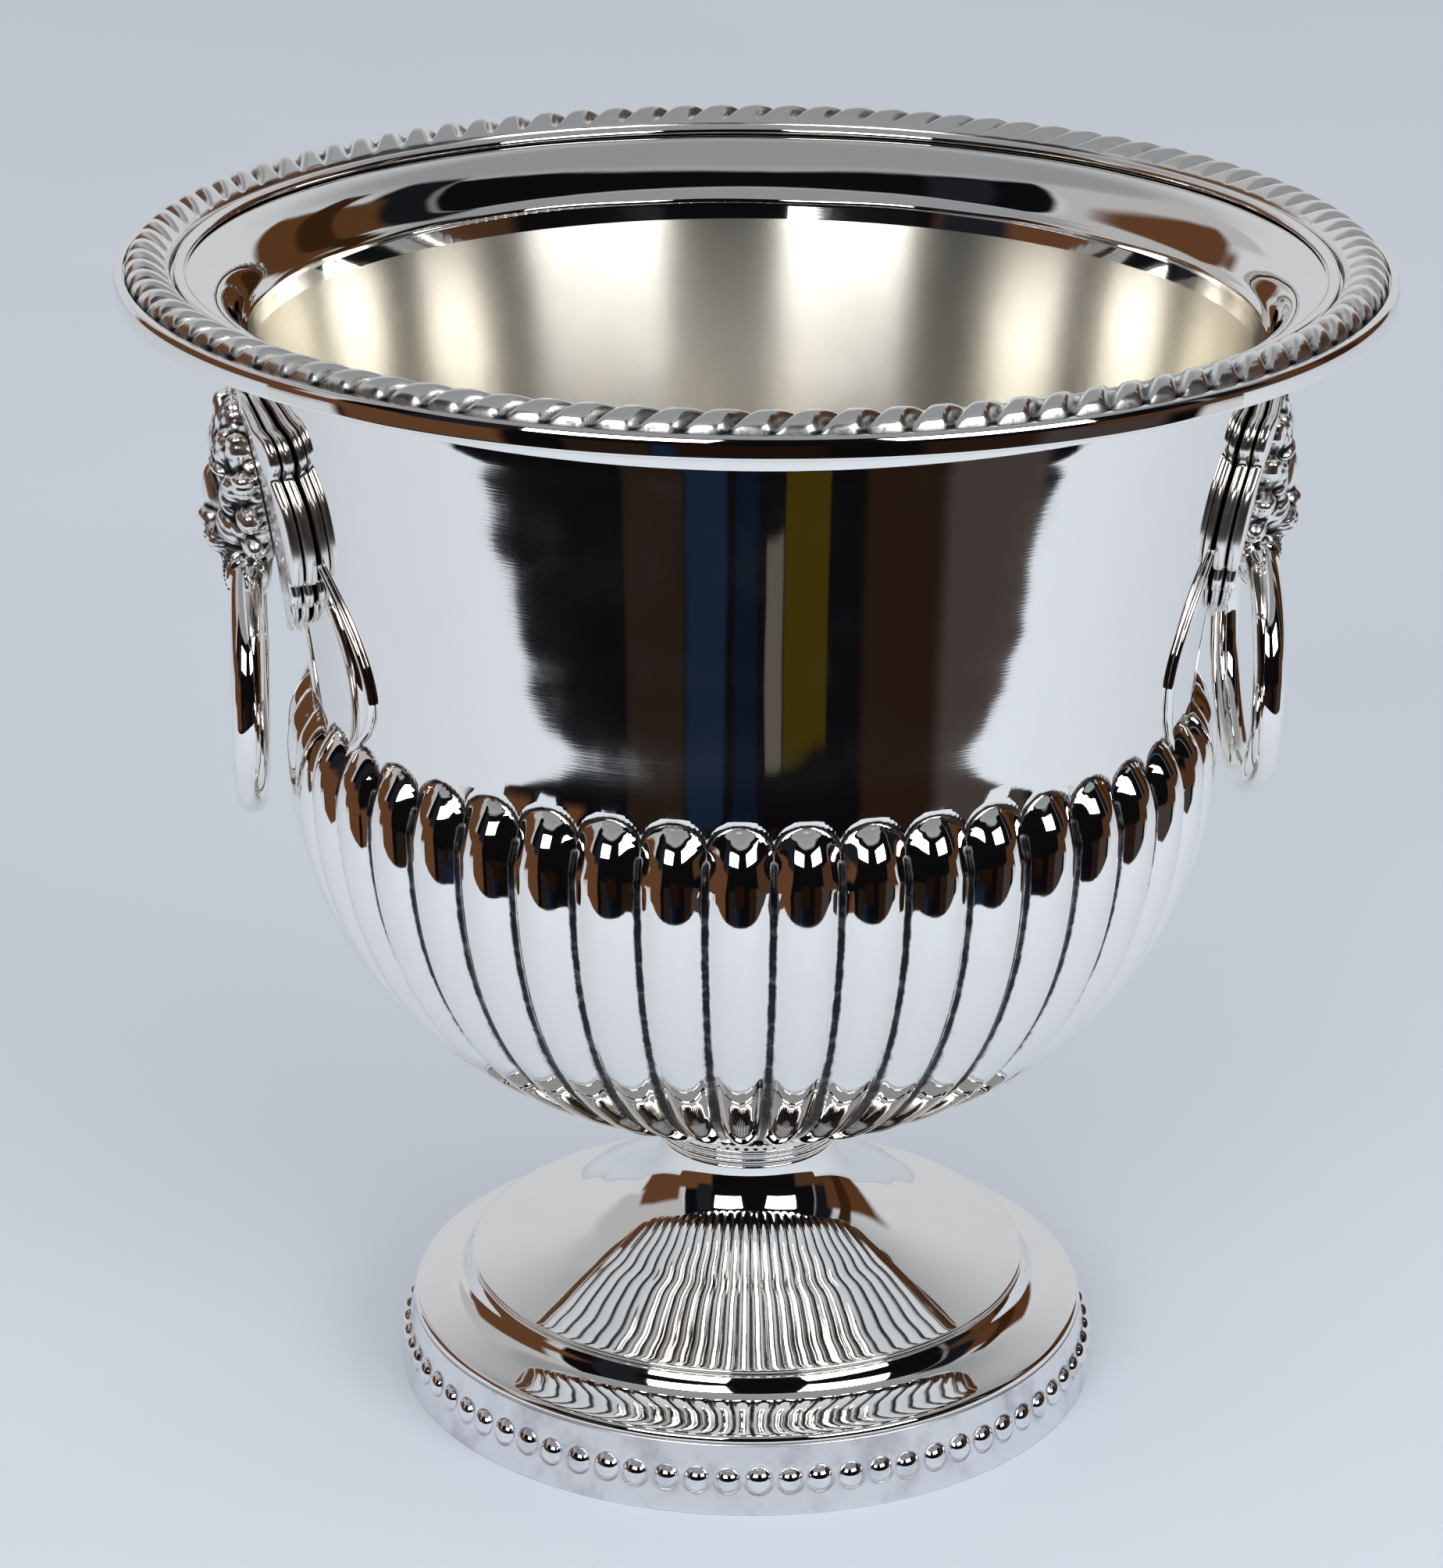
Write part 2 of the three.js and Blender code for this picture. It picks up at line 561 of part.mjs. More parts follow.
// ---------- the whole cooler ----------
const cooler = new THREE.Group();
cooler.add(silver('bowl', bowlGeometry()));
cooler.add(silver('rim_band', rimBand()));
cooler.add(silver('gadroon_border', gadroonBorder(), '#c6c7c9', 0.2));
cooler.add(silver('rim_fillet', rimFillet()));
cooler.add(silver('neck_collar', neckCollar()));
cooler.add(silver('pedestal', pedestal()));
cooler.add(silver('base_moulding', baseMoulding()));
cooler.add(silver('bead_band', beadBand(), '#c3c3c8', 0.3));
cooler.add(handle('right', true));
cooler.add(handle('left', false));

export default cooler;
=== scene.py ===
"""Silver wine cooler: a fluted urn on a beaded foot with lion-mask drop rings, built around its CAD frame."""

import math

import bmesh
import bpy
import numpy as np
from mathutils import Matrix, Vector


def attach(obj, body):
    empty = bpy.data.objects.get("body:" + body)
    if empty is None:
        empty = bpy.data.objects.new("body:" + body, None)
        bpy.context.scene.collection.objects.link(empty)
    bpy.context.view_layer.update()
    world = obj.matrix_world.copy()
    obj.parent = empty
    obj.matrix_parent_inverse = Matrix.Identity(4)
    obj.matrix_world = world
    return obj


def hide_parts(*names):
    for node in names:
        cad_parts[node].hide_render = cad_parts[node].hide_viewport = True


bl_info = {
    "name": "Silver wine cooler",
    "version": (1, 0, 0),
    "blender": (4, 5, 0),
    "location": "3D View > Sidebar > Wine cooler",
    "description": "Builds a fluted silver wine cooler with lion-mask drop rings, and the table it stands on",
    "category": "Add Mesh",
}

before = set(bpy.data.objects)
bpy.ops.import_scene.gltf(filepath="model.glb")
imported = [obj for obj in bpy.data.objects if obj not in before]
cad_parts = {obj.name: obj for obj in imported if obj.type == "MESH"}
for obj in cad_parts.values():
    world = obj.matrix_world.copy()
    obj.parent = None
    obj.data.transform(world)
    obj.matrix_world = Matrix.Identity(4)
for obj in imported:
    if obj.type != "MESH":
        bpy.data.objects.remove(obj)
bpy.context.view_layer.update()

MM = 0.001
SHEET = 1.3             # thickness of the raised and spun sheet, in millimetres
GAP = 0.3               # clearance that the solder fills
FLUTES = 45
GADROONS = 98
BEADS = 72
PITCH = 2 * math.pi / FLUTES
BODY = "cooler"
SEED = 11


# ---------- sizes and colours that a user may change ----------
class CoolerSizes(bpy.types.PropertyGroup):
    """Sizes of the cooler's visible detail"""

    flute_depth: bpy.props.FloatProperty(
        name="Flute depth", description="Depth of the flutes at the bowl's widest level",
        default=0.00255, min=0.001, max=0.004, unit="LENGTH", precision=5)
    arch_lip: bpy.props.FloatProperty(
        name="Arch lip", description="Height of the chased lip around each flute's arched top",
        default=0.0004, min=0.0, max=0.001, unit="LENGTH", precision=5)
    gadroon_scoop: bpy.props.FloatProperty(
        name="Gadroon scoop", description="Depth of the scoops between the rim's gadroons",
        default=0.0026, min=0.001, max=0.0035, unit="LENGTH", precision=5)
    bead_radius: bpy.props.FloatProperty(
        name="Bead radius", description="Radius of the beads punched into the foot's band",
        default=0.0024, min=0.0015, max=0.003, unit="LENGTH", precision=5)
    ring_tube: bpy.props.FloatProperty(
        name="Ring bar radius", description="Radius of the drop rings' round bar",
        default=0.0033, min=0.0025, max=0.0035, unit="LENGTH", precision=5)
    unevenness: bpy.props.FloatProperty(
        name="Unevenness", description="Height of the slow waves that planishing leaves in the sheet",
        default=0.00007, min=0.0, max=0.001, unit="LENGTH", precision=6)


def srgb(code):
    """Linear RGBA of an sRGB hex colour."""
    parts = [int(code[k:k + 2], 16) / 255 for k in (1, 3, 5)]
    linear = [c / 12.92 if c <= 0.04045 else ((c + 0.055) / 1.055) ** 2.4 for c in parts]
    return (*linear, 1.0)


def colour_property(name, description, code):
    return bpy.props.FloatVectorProperty(
        name=name, description=description, default=srgb(code), size=4, min=0, max=1, subtype="COLOR")


class CoolerColours(bpy.types.PropertyGroup):
    """Colours of the silver and of the table"""

    silver: colour_property("Silver", "Polished silver plate", "#F7F5F1")
    oxide: colour_property("Oxide", "Silver sulphide left in the recesses", "#282A30")
    lining: colour_property("Lining", "Brushed silver inside the bowl, slightly yellowed", "#E6E2D8")
    satin: colour_property("Satin", "Satin silver of the foot's band", "#F2F2F4")
    tarnish: colour_property("Tarnish", "Purplish tarnish on the foot's band", "#C0BEC6")
    table: colour_property("Table", "Pale blue-grey table covering", "#DEE6F1")


# ---------- curves and meshes, in millimetres ----------
def spline(points, steps=8):
    """A smooth line through points (Catmull-Rom)."""
    p = np.array(points, float)
    p = np.vstack([2 * p[0] - p[1], p, 2 * p[-1] - p[-2]])
    t = np.linspace(0, 1, steps, endpoint=False)[:, None]
    out = []
    for a, b, c, d in zip(p, p[1:], p[2:], p[3:]):
        bend = (2 * a - 5 * b + 4 * c - d) * t**2
        out.append(0.5 * (2 * b + (c - a) * t + bend + (3 * b - a - 3 * c + d) * t**3))
    return np.vstack([*out, p[-2:-1]])


def rounded(corners, steps=4):
    """A closed outline of (radius, height, fillet) corners with each corner rounded off."""
    out = []
    count = len(corners)
    for k, (r, z, fillet) in enumerate(corners):
        here = np.array([r, z])
        before = np.array(corners[k - 1][:2]) - here
        after = np.array(corners[(k + 1) % count][:2]) - here
        if fillet <= 0:
            out.append(here)
            continue
        cut = min(fillet, 0.45 * np.linalg.norm(before), 0.45 * np.linalg.norm(after))
        a = here + before / np.linalg.norm(before) * cut
        b = here + after / np.linalg.norm(after) * cut
        for t in np.linspace(0, 1, steps + 1):
            out.append((1 - t) ** 2 * a + 2 * t * (1 - t) * here + t**2 * b)
    return np.array(out)


def smoothstep(x, low, high):
    t = np.clip((x - low) / (high - low), 0, 1)
    return t * t * (3 - 2 * t)


def grid_quads(rows, columns, close_rows):
    """Faces of a grid whose columns close on themselves, and whose rows may too."""
    i = np.arange(rows if close_rows else rows - 1)[:, None]
    j = np.arange(columns)[None, :]
    below, right = (i + 1) % rows, (j + 1) % columns
    corners = [i * columns + j, i * columns + right, below * columns + right, below * columns + j]
    return np.stack(corners, -1).reshape(-1, 4)


def shell(rows, close_rows=True, poles=()):
    """(vertices, faces) of rows of points (row, column, xyz). Two pole points close the first and last rows."""
    rows = np.asarray(rows, float)
    count, columns = rows.shape[:2]
    vertices = rows.reshape(-1, 3)
    faces = grid_quads(count, columns, close_rows and not len(poles)).tolist()
    if len(poles):
        first = len(vertices)
        vertices = np.vstack([vertices, poles])
        last_row = (count - 1) * columns
        for j in range(columns):
            k = (j + 1) % columns
            faces.append([first, k, j])
            faces.append([first + 1, last_row + j, last_row + k])
    return vertices, faces


def wheel(radius, height, angle):
    """Points at a radius and a height around the axis."""
    return np.stack([radius * np.cos(angle), radius * np.sin(angle), height + 0 * angle], -1)


def turned(outline, segments=256):
    """A solid of revolution of a closed outline."""
    angle = np.linspace(0, 2 * math.pi, segments, endpoint=False)
    return shell([wheel(r, z, angle) for r, z in np.asarray(outline)])


def mesh_of(name, geometry, values=None):
    """A smooth closed mesh with its faces outward, and named values at its points."""
    vertices, faces = geometry
    mesh = bpy.data.meshes.new(name)
    mesh.from_pydata((np.asarray(vertices) * MM).tolist(), [], faces)
    for key, value in (values or {}).items():
        attribute = mesh.attributes.new(key, "FLOAT", "POINT")
        attribute.data.foreach_set("value", np.ascontiguousarray(value, dtype=np.float32))
    face_outward(mesh)
    mesh.polygons.foreach_set("use_smooth", [True] * len(mesh.polygons))
    mesh.update()
    return mesh


def face_outward(mesh):
    work = bmesh.new()
    work.from_mesh(mesh)
    if work.calc_volume(signed=True) < 0:
        bmesh.ops.reverse_faces(work, faces=work.faces)
    work.to_mesh(mesh)
    work.free()


def new_object(name, data):
    """An object of some data, in the scene."""
    made = bpy.data.objects.new(name, data)
    bpy.context.scene.collection.objects.link(made)
    return made


def add_piece(name, mesh, material, node, body, half_turn=False):
    """Puts a piece in place of its CAD node, riding on a body."""
    piece = new_object(name, mesh)
    if half_turn:
        mesh.transform(Matrix.Rotation(math.pi, 4, "Z"))
    if not mesh.materials:
        mesh.materials.append(material)
    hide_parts(node)
    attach(piece, body)
    return piece


# ---------- materials ----------
def add_node(tree, kind, inputs=None, **settings):
    """Adds a node, sets its properties, and sets or links its inputs."""
    new = tree.nodes.new(kind)
    for key, value in settings.items():
        setattr(new, key, value)
    for key, value in (inputs or {}).items():
        if isinstance(value, bpy.types.NodeSocket):
            tree.links.new(value, new.inputs[key])
        else:
            new.inputs[key].default_value = value
    return new


def silver_material(name, base, oxide, roughness, waves, scratch, smudge, grime=0.0, brushed=0.0):
    """Silver plate: a polished metal, dulled by smudges, fine wiping scratches and oxide in its recesses.

    waves: height in metres of the sheet's slow unevenness. scratch: height in metres of the wiping marks.
    smudge: how much roughness the smudges add. grime: how dark the pattern of old tarnish is.
    """
    material = bpy.data.materials.new(name)
    material.use_nodes = True
    tree = material.node_tree
    shader = tree.nodes["Principled BSDF"]
    place = add_node(tree, "ShaderNodeTexCoord").outputs["Object"]
    recess = add_node(tree, "ShaderNodeAttribute", attribute_name="recess").outputs["Fac"]

    # smudges are 12 mm across and cloudy, tarnish freckles 3 mm
    cloud = add_node(tree, "ShaderNodeTexNoise", {
        "Vector": place, "Scale": 1 / 0.012, "Detail": 5.0, "Roughness": 0.6})
    freckle = add_node(tree, "ShaderNodeTexNoise", {
        "Vector": place, "Scale": 1 / 0.003, "Detail": 4.0, "Roughness": 0.7})
    cloudy = add_node(tree, "ShaderNodeMapRange", {
        "Value": cloud.outputs["Fac"], "From Min": 0.45, "From Max": 0.75}, interpolation_type="SMOOTHSTEP")
    spotty = add_node(tree, "ShaderNodeMapRange", {
        "Value": freckle.outputs["Fac"], "From Min": 0.35, "From Max": 0.7}, interpolation_type="SMOOTHSTEP")
    # oxide lies in the recesses and breaks up at their edges
    ragged = add_node(tree, "ShaderNodeMath", {0: recess, 1: add_node(tree, "ShaderNodeMath", {
        0: spotty.outputs["Result"], 1: 0.35}, operation="MULTIPLY").outputs[0]}, operation="ADD")
    dark = add_node(tree, "ShaderNodeMapRange", {
        "Value": ragged.outputs[0], "From Min": 0.35, "From Max": 1.15}, interpolation_type="SMOOTHSTEP")
    dull = add_node(tree, "ShaderNodeMath", {
        0: cloudy.outputs["Result"], 1: grime}, operation="MULTIPLY")
    shade = add_node(tree, "ShaderNodeMath", {
        0: dark.outputs["Result"], 1: dull.outputs[0]}, operation="MAXIMUM")
    colour = add_node(tree, "ShaderNodeMix", {0: shade.outputs[0], 6: base, 7: oxide}, data_type="RGBA")
    tree.links.new(colour.outputs[2], shader.inputs["Base Color"])

    rough = add_node(tree, "ShaderNodeMath", {
        0: cloudy.outputs["Result"], 1: smudge, 2: roughness}, operation="MULTIPLY_ADD")
    rough = add_node(tree, "ShaderNodeMath", {
        0: dark.outputs["Result"], 1: 0.3, 2: rough.outputs[0]}, operation="MULTIPLY_ADD")
    shine = add_node(tree, "ShaderNodeAttribute", attribute_name="polish").outputs["Fac"]
    rough = add_node(tree, "ShaderNodeMix", {0: shine, 2: rough.outputs[0], 3: 0.05}).outputs[0]
    tree.links.new(rough, shader.inputs["Roughness"])

    # planishing waves are 28 mm long; wiping scratches 0.35 mm apart and 12 mm long, running around the piece
    wave = add_node(tree, "ShaderNodeTexNoise", {
        "Vector": place, "Scale": 1 / 0.028, "Detail": 1.5, "Roughness": 0.4})
    slow = add_node(tree, "ShaderNodeBump", {"Height": wave.outputs["Fac"], "Distance": waves, "Strength": 1.0})
    parts = add_node(tree, "ShaderNodeSeparateXYZ", {"Vector": place})
    around = add_node(tree, "ShaderNodeMath", {
        0: parts.outputs["Y"], 1: parts.outputs["X"]}, operation="ARCTAN2")
    unrolled = add_node(tree, "ShaderNodeCombineXYZ", {
        "X": add_node(tree, "ShaderNodeMath", {0: around.outputs[0], 1: 8.0}, operation="MULTIPLY").outputs[0],
        "Y": add_node(tree, "ShaderNodeMath", {
            0: parts.outputs["Z"], 1: 1 / 0.00035}, operation="MULTIPLY").outputs[0]})
    brush = add_node(tree, "ShaderNodeTexNoise", {"Vector": unrolled.outputs[0], "Scale": 1.0, "Detail": 3.0})
    fine = add_node(tree, "ShaderNodeBump", {
        "Height": brush.outputs["Fac"], "Distance": scratch, "Strength": 1.0, "Normal": slow.outputs["Normal"]})
    tree.links.new(fine.outputs["Normal"], shader.inputs["Normal"])

    shader.inputs["Metallic"].default_value = 1.0
    if brushed:
        shader.inputs["Anisotropic"].default_value = brushed
        shader.inputs["Anisotropic Rotation"].default_value = 0.25
        tangent = add_node(tree, "ShaderNodeTangent", direction_type="RADIAL", axis="Z")
        tree.links.new(tangent.outputs[0], shader.inputs["Tangent"])
    return material


def silvers():
    """The four finishes, made once."""
    c = bpy.context.scene.cooler_colours
    wave = bpy.context.scene.cooler_sizes.unevenness
    made = {}
    for key, name, settings in (
            ("polished", "polished silver plate", (c.silver, c.oxide, 0.03, wave, 0.7e-6, 0.015, 0.02)),
            ("cast", "cast silver, oxidised", (c.silver, c.oxide, 0.18, wave, 3.0e-6, 0.08, 0.1)),
            ("satin", "satin silver, tarnished", (c.satin, c.tarnish, 0.3, wave, 3.0e-6, 0.1, 0.8)),
            ("lining", "brushed silver lining", (c.lining, c.oxide, 0.24, wave * 2, 4.0e-6, 0.02, 0.0, 0.8))):
        made[key] = bpy.data.materials.get(name) or silver_material(name, *settings)
    return made


# ---------- bowl ----------
BELLY_R, BELLY_Z, BELLY_H, BELLY_POWER = 95.9, 143.97, 83.67, 2.11
ARCH_CENTRE_Z = 149.5            # centre of the flutes' round tops
# outer line of the plain wall and of the valleys between the flutes, as (height, radius)
WALL = spline([(143.97, 93.34), (145.2, 93.1), (147.4, 92.2), (150, 91.2), (152, 90.88), (154, 90.76),
               (156, 90.76), (158, 90.85), (160, 91.01), (162, 91.2), (164, 91.4), (167, 91.73),
               (171, 92.2), (177, 92.95), (185, 94.04), (195, 95.58), (205, 97.32), (215, 99.26),
               (225, 101.4), (231, 102.8)], 6)


# outer line of a flute's crest where it rolls over to its round top, as (height, radius)
CREST = spline([(143.97, 95.9), (146, 95.75), (148, 95.4), (150, 94.8), (152, 93.85), (154, 92.6),
                (155.2, 91.6), (156.4, 90.9)], 6)
# the turned-over rim from the wall outwards and back, and the crease inside the mouth, as (radius, height)
FLARE_UNDER = [(102.75, 231), (103.6, 232.6), (104.7, 234.6), (106, 236.6), (107.4, 238.2), (109.2, 239.4),
               (112, 240.2), (116, 240.7), (121, 240.8), (124.9, 240.8)]
FLARE_OVER = [(125.0, 242.2), (121, 242.2), (116, 242.05), (112.5, 241.6), (109.5, 240.8), (107.3, 239.6),
              (105.8, 238), (104.6, 236), (103.6, 234), (102.7, 232.2), (102.1, 231.4)]
CREASE = [(101.75, 230.9), (101.35, 230.55), (101.2, 230.1), (101.15, 229.6), (101.02, 229.0)]


def wall_radius(z):
    return np.interp(z, WALL[:, 0], WALL[:, 1])


def flute_fullness(q):
    """Height of a flute's round back across it: an arc that turns 47 degrees each way."""
    sag = 0.436
    radius = (1 + sag**2) / (2 * sag)
    return (np.sqrt(radius**2 - np.clip(q, 0, 1) ** 2) - radius + sag) / sag


def bowl_columns():
    """Azimuths and places across the flutes, closer together at the valleys. A crest lies at +X."""
    across = 0.5 - 0.5 * np.cos(np.pi * np.arange(16) / 16)
    flute = (np.arange(FLUTES)[:, None] + across[None, :]).ravel()
    return (flute + 0.5) * PITCH, (flute % 1) - 0.5


def belly_row(turn, place, inset, depth):
    """Radius, height and depth in a valley across all flutes, at one level under the widest."""
    power = 2 / BELLY_POWER
    r, drop = BELLY_R * math.sin(turn) ** power, BELLY_H * math.cos(turn) ** power
    slope = BELLY_POWER - 1
    normal = np.array([(r / BELLY_R) ** slope / BELLY_R, -((drop / BELLY_H) ** slope) / BELLY_H])
    normal /= np.linalg.norm(normal)
    fade = float(smoothstep(r, 19.5, 30))
    valley = min(0.85 / (PITCH * r), 0.13)
    full = flute_fullness(np.abs(place) / (0.5 - valley))
    sink = inset + depth * (r / BELLY_R) * fade * (1 - full)
    return r - sink * normal[0], BELLY_Z - drop - sink * normal[1], fade * (1 - smoothstep(full, 0.0, 0.12))


def arch_row(z, place, inset, lip):
    """The same where the flutes end in round arches and the plain wall starts."""
    base = float(wall_radius(z))
    along = np.abs(place) * PITCH * base
    half = PITCH * base / 2 - (0.85 - 0.3 * float(smoothstep(z, 144, 149.5)))
    reach = np.hypot(along, max(0.0, z - ARCH_CENTRE_Z)) / half
    span = math.sqrt(max(0.0, half**2 - max(0.0, z - ARCH_CENTRE_Z) ** 2))
    full = flute_fullness(along / max(span, 0.01))
    rise = max(0.0, float(np.interp(z, CREST[:, 0], CREST[:, 1])) - base)
    ridge = lip * np.exp(-(((reach - 1) * half / 0.5) ** 2)) * float(smoothstep(z, 140, 148.5))
    groove = np.exp(-(((reach - 1) * half - 1.0) / 0.5) ** 2) * float(smoothstep(z, 140, 148.5))
    below = 1 - smoothstep(z, 148.5, 150.5)
    recess = np.maximum(below * (1 - smoothstep(full, 0.0, 0.12)), 0.95 * groove)
    return base - inset + rise * full + ridge - 0.25 * groove, np.full_like(place, z), recess


def bowl_geometry(sizes):
    azimuth, place = bowl_columns()
    depth, lip = sizes.flute_depth / MM, sizes.arch_lip / MM
    radii, heights, recess = [], [], []

    def add(row):
        radii.append(row[0])
        heights.append(row[1])
        recess.append(row[2])

    def plain(points, wobble=0.0):
        wave = np.sin(3 * azimuth + 1) * 0.5 + np.sin(7 * azimuth + 0.4) * 0.3 + np.sin(17 * azimuth) * 0.2
        for r, z in points:
            add((np.full_like(place, r), z + wobble * wave, np.zeros_like(place)))

    for turn in np.linspace(0.07, math.pi / 2, 66):
        add(belly_row(turn, place, 0, depth))
    for z in np.arange(144.3, 157.0, 0.4):
        add(arch_row(z, place, 0, lip))
    plain([(wall_radius(z), z) for z in np.linspace(157.4, 229.5, 26)])
    plain(spline(FLARE_UNDER, 3))
    plain([(125.2, 241.0), (125.2, 242.0)])
    plain(spline(FLARE_OVER, 3), 0.12)
    plain(CREASE, 0.4)
    rim_rows = len(radii)
    plain([(wall_radius(z) - SHEET, z) for z in np.linspace(226, 157.4, 22)])
    for z in np.arange(156.8, 144.3, -0.8):
        add(arch_row(z, place, SHEET, 0))
    for turn in np.linspace(math.pi / 2, 0.09, 44):
        add(belly_row(turn, place, SHEET, depth))
    radius, height = np.array(radii), np.array(heights)
    bottom = BELLY_Z - BELLY_H
    vertices, faces = shell(wheel(radius, height, azimuth), poles=[(0, 0, bottom), (0, 0, bottom + SHEET)])
    values = np.concatenate([np.array(recess).ravel(), [0, 0]])
    lining_from = rim_rows * len(azimuth)
    values[lining_from:] = 0
    return vertices, faces, values, lining_from


# ---------- rim ----------
# a gadroon's crest from its outer to its inner end
GADROON_CREST = [(125.2, 242.6), (125.1, 243.6), (124.4, 245.2), (123.2, 246.3), (121.6, 246.8), (119.8, 246.4),
                 (118, 245.3), (116.7, 244.1), (116.2, 242.9)]
GADROON_SEAT_Z, GADROON_BACK_Z, GADROON_HEIGHT = 242.3, 242.45, 4.5


def gadroon_geometry(sizes):
    """Rope-twist gadroons: flat slanting lobes with a leaf-shaped scoop between each two."""
    columns = GADROONS * 16
    angle = np.linspace(0, 2 * math.pi, columns, endpoint=False)
    crest = spline(GADROON_CREST, 4)
    shares = (crest[0, 0] - crest[:, 0]) / (crest[0, 0] - crest[-1, 0])
    scoop_depth = sizes.gadroon_scoop / MM
    rows, recess = [], []
    for (r, z), share in zip(crest, shares):
        phase = (angle * GADROONS / (2 * math.pi) - 0.95 * share + 0.06 * np.sin(angle * 5)) % 1 - 0.5
        leaf = math.sin(math.pi * min(1.0, (share + 0.16) / 1.12)) ** 0.7
        width = 0.09 + 0.09 * leaf
        scoop = np.exp(-np.abs(phase / width) ** 2) * leaf
        drop = scoop_depth * scoop * (z - GADROON_SEAT_Z) / GADROON_HEIGHT
        rows.append(wheel(r - 0.35 * scoop, z - drop, angle))
        inner_fade = float(1 - smoothstep(share, 0.45, 0.95))
        recess.append(0.9 * scoop * inner_fade + 0.6 * float(1 - smoothstep(share, 0.02, 0.08)))
    for r in (116.2, 119, 122, 125.0):
        rows.append(wheel(r, GADROON_BACK_Z, angle))
        recess.append(np.ones_like(angle))
    return *shell(rows), np.concatenate(recess)


# outlines as (radius, height, fillet)
RIM_BAND = [(125.5, 238.95, 0.1), (127.1, 238.95, 0.5), (127.55, 239.6, 0.4), (127.55, 242.3, 0.8),
            (127.0, 243.45, 0.5), (125.5, 243.5, 0.2)]
RIM_FILLET = [(113.1, 242.2, 0.2), (115.7, 242.45, 0.2), (115.6, 243.4, 0.5), (114.5, 243.95, 0.8),
              (113.3, 243.2, 0.5)]

# ---------- foot ----------
NECK_COLLAR = [(0.6, 52.25, 0), (19.2, 52.25, 0.3), (19.9, 52.9, 0.5), (19.9, 53.8, 0.5), (19.1, 54.2, 0.15),
               (19.1, 54.6, 0.15), (19.6, 54.9, 0.3), (19.6, 55.5, 0.3), (18.6, 56.4, 0.6), (17.2, 59.6, 0.6),
               (0.6, 60.0, 0)]
# outlines as (radius, height)
PEDESTAL_OUTER = [(18.6, 51.9), (18.9, 49.2), (19.6, 46.5), (20.7, 44), (22.2, 41.7), (24.2, 39.4),
                  (26.7, 37.4), (29.8, 35.5), (33.8, 33.4), (38, 31.6), (42, 29.95), (46, 28.5), (50, 27.25),
                  (55, 25.9), (58.6, 25.0)]
MOULDING_FACE = [(59.2, 23.5), (59.7, 22.6), (60.3, 21.3), (61.1, 20.1), (62.3, 19.15), (64.2, 18.35),
                 (67, 17.6), (69.6, 17.0), (70.9, 16.6), (71.5, 16.1), (71.75, 15.5), (71.8, 15.1)]
MOULDING_UNDERSIDE = [(70.5, 15.1), (70.2, 15.6), (66.5, 16.4), (62.3, 17.8), (60, 19.4), (58.6, 21.6),
                      (57.8, 22.4), (54.2, 22.4), (54.2, 23.7), (58.7, 23.7)]
BEAD_BAND_BACK = [(71.8, 14.7), (71.5, 14.8), (70.3, 14.8), (70.0, 14.4), (71.0, 8), (72.2, 1), (72.4, 0),
                  (74.2, 0), (74.42, 0.1)]
PEDESTAL_FOOT_Z = 24.05


def pedestal_outline():
    outer = spline(PEDESTAL_OUTER, 4)
    along = np.gradient(outer, axis=0)
    normal = np.stack([along[:, 1], -along[:, 0]], -1) / np.linalg.norm(along, axis=1)[:, None]
    inner = outer + SHEET * normal
    inner[:, 1] = np.maximum(inner[:, 1], PEDESTAL_FOOT_Z)
    edge = [(59.1, 24.85), (59.1, 24.3), (58.9, PEDESTAL_FOOT_Z)]
    inner = inner[inner[:, 0] < 57.5]
    return np.vstack([outer, edge, inner[::-1]])


BAND_R, BAND_TAPER, BAND_TOP_Z = 74.45, 2.65, 14.8
BEAD_R, BEAD_Z, BEAD_RISE = 73.5, 7.4, 1.35


def bead_band_geometry(sizes):
    """A conical band with hand-punched beads, each in its punched ring."""
    columns, levels = 1440, 44
    rng = np.random.default_rng(SEED)
    angle = np.linspace(0, 2 * math.pi, columns, endpoint=False)
    centre = (np.arange(BEADS) + 0.5) * 2 * math.pi / BEADS + rng.normal(0, 0.13, BEADS) / BEAD_R
    level = BEAD_Z + rng.normal(0, 0.1, BEADS)
    radius = sizes.bead_radius / MM * (1 + rng.normal(0, 0.02, BEADS))
    nearest = np.floor(angle / (2 * math.pi) * BEADS).astype(int) % BEADS
    rows, recess, polish = [], [], []
    for z in np.linspace(0.35, 14.4, levels):
        r = BAND_R - BAND_TAPER * z / BAND_TOP_Z
        away = np.hypot((angle - centre[nearest]) * r, z - level[nearest]) / radius[nearest]
        dome = BEAD_RISE * np.clip(1 - away**2, 0, 1) ** 0.6
        ring = np.exp(-(((away - 1.1) / 0.08) ** 2))
        rows.append(wheel(r + dome - 0.25 * ring, z, angle))
        recess.append(ring)
        polish.append(1 - smoothstep(away, 0.98, 1.05))
    for r, z in BEAD_BAND_BACK:
        rows.append(wheel(r, z, angle))
        recess.append(np.zeros_like(angle))
        polish.append(np.zeros_like(angle))
    return *shell(rows), np.concatenate(recess), np.concatenate(polish)


# ---------- handles, made on the right-hand side ----------
PIVOT_R, PIVOT_Z = 102.8, 181.6
PLATE_CENTRE_Z = 197.0
